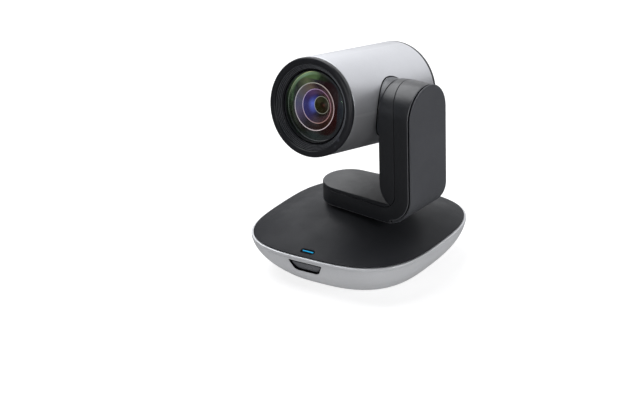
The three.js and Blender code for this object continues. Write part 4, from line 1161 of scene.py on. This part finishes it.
# A stop is its place along the ramp, red, green and blue, all in thousandths.
def colour_ramp(tree, value, stops):
    ramp = tree.nodes.new("ShaderNodeValToRGB")
    elements = ramp.color_ramp.elements
    while len(elements) < len(stops):
        elements.new(0.5)
    for element, stop in zip(elements, stops):
        place, *colour = [number / 1000 for number in stop]
        element.position = place
        element.color = (*colour, 1)
    tree.links.new(value, ramp.inputs["Fac"])
    return ramp.outputs["Color"]


# A coated glass face: bands of colours that change round the axis, partly the coating's own tint
# and partly painted reflections and highlights, which glow as painted light. Each band after the
# first has the power, start and end, in millimetres from the axis, of its blend over the ones
# before it.
def make_coating_with_painted_light(name, stops, *bands, glow=0.8):
    material, tree, principled, where = new_material(name)
    around = add_node(tree, "TexGradient", {"Vector": where}, "Fac", gradient_type="RADIAL")
    wobble = remap(tree, noise(tree, where, 90, 3), -0.012, 0.012)
    place = maths(tree, "ADD", around, wobble)
    colour = colour_ramp(tree, place, stops)
    for power, start, end, band_stops in bands:
        blend = remap(tree, lens_distance(tree, where, power), 0, 1, start * MM, end * MM)
        colour = mix_colours(tree, blend, colour, colour_ramp(tree, place, band_stops))
    # The colours also glow with no lamp behind them: painted light.
    set_inputs(tree, principled, {
        "Base Color": colour, "Emission Color": colour, "Emission Strength": glow,
        "Specular IOR Level": 0.1,
        "Roughness": remap(tree, noise(tree, where, 300, 3), 0.2, 0.32)})
    return material


# Places round the axis run from 0 at the left: 250 is down, 500 right and 750 up.
# In the outer coating, the bright green from the top round to the upper left is a painted
# reflection.
OUTER_COATING_AND_REFLECTION = make_coating_with_painted_light(
    "outer_coating_and_painted_reflection",
    ((0, 20, 21, 23), (100, 18, 14, 16), (170, 6, 2, 3), (250, 20, 20, 20), (330, 10, 4, 4),
     (450, 16, 2, 2), (600, 12, 5, 5), (700, 14, 6, 7), (760, 20, 20, 22), (830, 80, 90, 45),
     (900, 22, 24, 20), (1000, 20, 21, 23)),
    (4, 17.2, 17.7, ((0, 12, 14, 10), (80, 6, 4, 3), (170, 3, 2, 2), (250, 18, 22, 22),
     (380, 12, 8, 8), (500, 12, 13, 17), (580, 3, 3, 3), (680, 8, 6, 6), (735, 14, 20, 10),
     (760, 60, 95, 40), (830, 70, 110, 40), (920, 30, 50, 26))),
    (2, 20.0, 21.0, ((0, 26, 33, 25), (70, 8, 7, 6), (150, 10, 10, 10), (250, 21, 22, 22),
     (400, 18, 18, 20), (500, 20, 25, 28), (670, 22, 23, 26), (740, 30, 33, 24),
     (765, 110, 160, 80), (840, 160, 240, 145), (920, 95, 130, 75), (1000, 26, 33, 25))))
MIDDLE_COATING_AND_REFLECTION = make_coating_with_painted_light(
    "middle_coating_and_painted_reflection",
    ((0, 60, 56, 98), (80, 56, 38, 74), (170, 18, 14, 18), (250, 17, 9, 9), (350, 15, 5, 3),
     (450, 35, 14, 10), (620, 45, 22, 20), (740, 20, 11, 15), (820, 83, 58, 42),
     (920, 72, 65, 70), (1000, 60, 56, 98)))
INNER_COATING_AND_REFLECTION = make_coating_with_painted_light(
    "inner_coating_and_painted_reflection",
    ((0, 90, 120, 430), (100, 60, 70, 260), (170, 20, 16, 40), (250, 10, 6, 2), (400, 15, 10, 7),
     (500, 30, 14, 11), (700, 18, 9, 6), (800, 15, 8, 14), (900, 30, 30, 130),
     (1000, 90, 120, 430)),
    (2, 6.8, 8.6, ((0, 34, 30, 110), (120, 28, 22, 80), (220, 34, 18, 30), (350, 40, 18, 15),
     (500, 26, 9, 7), (670, 32, 13, 11), (770, 50, 26, 40), (850, 60, 30, 75), (930, 28, 18, 65),
     (1000, 34, 30, 110))))
PUPIL_AND_REFLECTION = make_coating_with_painted_light(
    "pupil",
    ((0, 10, 6, 3), (350, 14, 6, 3), (500, 60, 22, 16), (650, 12, 6, 4), (1000, 10, 6, 3)),
    (2, 1.6, 2.2, ((0, 16, 14, 4), (400, 12, 8, 4), (550, 30, 26, 18), (700, 12, 13, 5),
     (900, 30, 26, 12), (1000, 16, 14, 4))))
# The rims and the glass bevel are thin glowing rings: painted highlights.
RIM_WHITE_HIGHLIGHT = make_coating_with_painted_light(
    "rim_white_painted_highlight",
    ((0, 420, 380, 420), (300, 600, 480, 460), (500, 500, 360, 360), (800, 360, 340, 280),
     (1000, 420, 380, 420)),
    glow=0.7)
RIM_PINK_HIGHLIGHT = make_coating_with_painted_light(
    "rim_pink_painted_highlight",
    ((0, 460, 380, 520), (300, 400, 220, 180), (600, 340, 180, 200), (800, 360, 240, 400),
     (1000, 460, 380, 520)),
    glow=0.6)
RIM_OLIVE_HIGHLIGHT = make_coating_with_painted_light(
    "rim_olive_painted_highlight",
    ((0, 300, 310, 260), (500, 220, 200, 150), (1000, 300, 310, 260)),
    glow=0.5)
GLASS_BEVEL_HIGHLIGHT = make_coating_with_painted_light(
    "glass_bevel_painted_highlight",
    ((0, 140, 180, 130), (100, 50, 50, 50), (250, 100, 100, 100), (500, 30, 30, 35),
     (720, 40, 40, 30), (800, 280, 300, 140), (1000, 140, 180, 130)),
    glow=1.0)


# Behind the front glass, the zones carry painted reflections and the rims painted highlights, all
# glowing.
in_lens_frame("front_glass", glass_mesh(), FRONT_GLASS, ["front_lens"])
in_lens_frame("coated_zone_outer_painted_reflection", zone_mesh(CORE_OUTER, CORE_RINGS[0]), OUTER_COATING_AND_REFLECTION,
              ["second_lens"])
in_lens_frame("coated_zone_middle_painted_reflection", zone_mesh(CORE_RINGS[0], CORE_RINGS[1]), MIDDLE_COATING_AND_REFLECTION)
in_lens_frame("coated_zone_inner_painted_reflection", zone_mesh(CORE_RINGS[1], CORE_RINGS[2]), INNER_COATING_AND_REFLECTION)
in_lens_frame("pupil", zone_mesh(CORE_RINGS[2], CORE_MIDDLE, 0), PUPIL_AND_REFLECTION)
for name, ring, width, material in (
        ("outer_rim", CORE_RINGS[0], 0.24, RIM_WHITE_HIGHLIGHT),
        ("middle_rim", CORE_RINGS[1], 0.22, RIM_PINK_HIGHLIGHT),
        ("inner_rim", CORE_RINGS[2], 0.2, RIM_OLIVE_HIGHLIGHT),
        ("glass_bevel_painted_highlight", CORE_OUTER, 0.2, GLASS_BEVEL_HIGHLIGHT)):
    in_lens_frame(name, rim_mesh(*ring, width), material)
lens_ring = lathe([(22.7, 38), (23.45, 38), (23.45, 43.9, 0.3), (22.7, 43.9, 0.2)], "Z",
                  count=GLASS_COUNT)
in_lens_frame("lens_ring", lens_ring, BEZEL_BLACK, ["aperture_baffle"])

# ---------------------------------------------------------------- what keeps its CAD shape
CAD_FINISHES = (
    (STEEL, "steel", [
        "chassis_plate", "pan_motor_body", "heat_sink", "pan_shaft", "pan_retainer_ring",
        "arm_frame", "arm_screw_1", "arm_screw_2", "tilt_motor_body", "tilt_shaft", "guide_rod_1",
        "guide_rod_2", "zoom_motor_yoke", "focus_motor_yoke", "usb_socket"]),
    (BRASS, "brass", ["pan_pinion", "tilt_pinion"]),
    (NYLON, "nylon", ["pan_bush", "pan_gear", "tilt_bush", "tilt_gear"]),
    (BOARD, "circuit_board", ["main_board", "status_led", "sensor_board"]),
    (FLEX, "flex_cable", ["arm_flex_cable"]),
    (LENS_BLACK, "lens_black", [
        "power_jack", "ir_receiver", "lens_housing", "iris_ring", "zoom_carrier", "focus_carrier",
        "image_sensor"]),
    (INNER_GLASS, "lens_glass", ["zoom_lens", "focus_lens"]),
    (BLACK, "black_casing", ["rear_io_panel"]),
)
for finish, slot_name, names in CAD_FINISHES:
    for name in names:
        node = frame["nodes"][name]
        for material_slot in node.material_slots:
            material_slot.material = finish

# ---------------------------------------------------------------- floor
FLOOR_RADIUS = 6000
FLOOR_COUNT = 48


# A wide disc under the object whose tone drifts a little, unseen by some kinds of ray.
def make_disc(name, material_name, levels, tones, tone_input, inputs, unseen_by):
    material, tree, principled, where = new_material(material_name)
    tone = cloudy_colour(tree, where, 3, 2, *[grey(tone) for tone in tones])
    set_inputs(tree, principled, {tone_input: tone, **inputs})
    data = skin([circle(FLOOR_RADIUS, z, "Z", FLOOR_COUNT) for z in levels], capped=True)
    data.materials.append(material)
    piece = link_object(name, data)
    for kind in unseen_by:
        setattr(piece, "visible_" + kind, False)


make_disc("floor", "pale_floor", (0, -20), (0.33, 0.35), "Base Color",
          {"Roughness": 0.9, "Emission Color": grey(1), "Emission Strength": 0.75}, ["glossy"])
# The floor would show too bright in the glossy parts, so they reflect this dimmer sheet instead.
make_disc("floor_reflection", "floor_reflection", (-1, -2), (0.9, 1), "Emission Color",
          {"Base Color": grey(0), "Emission Strength": 0.14},
          ["camera", "diffuse", "transmission", "shadow"])
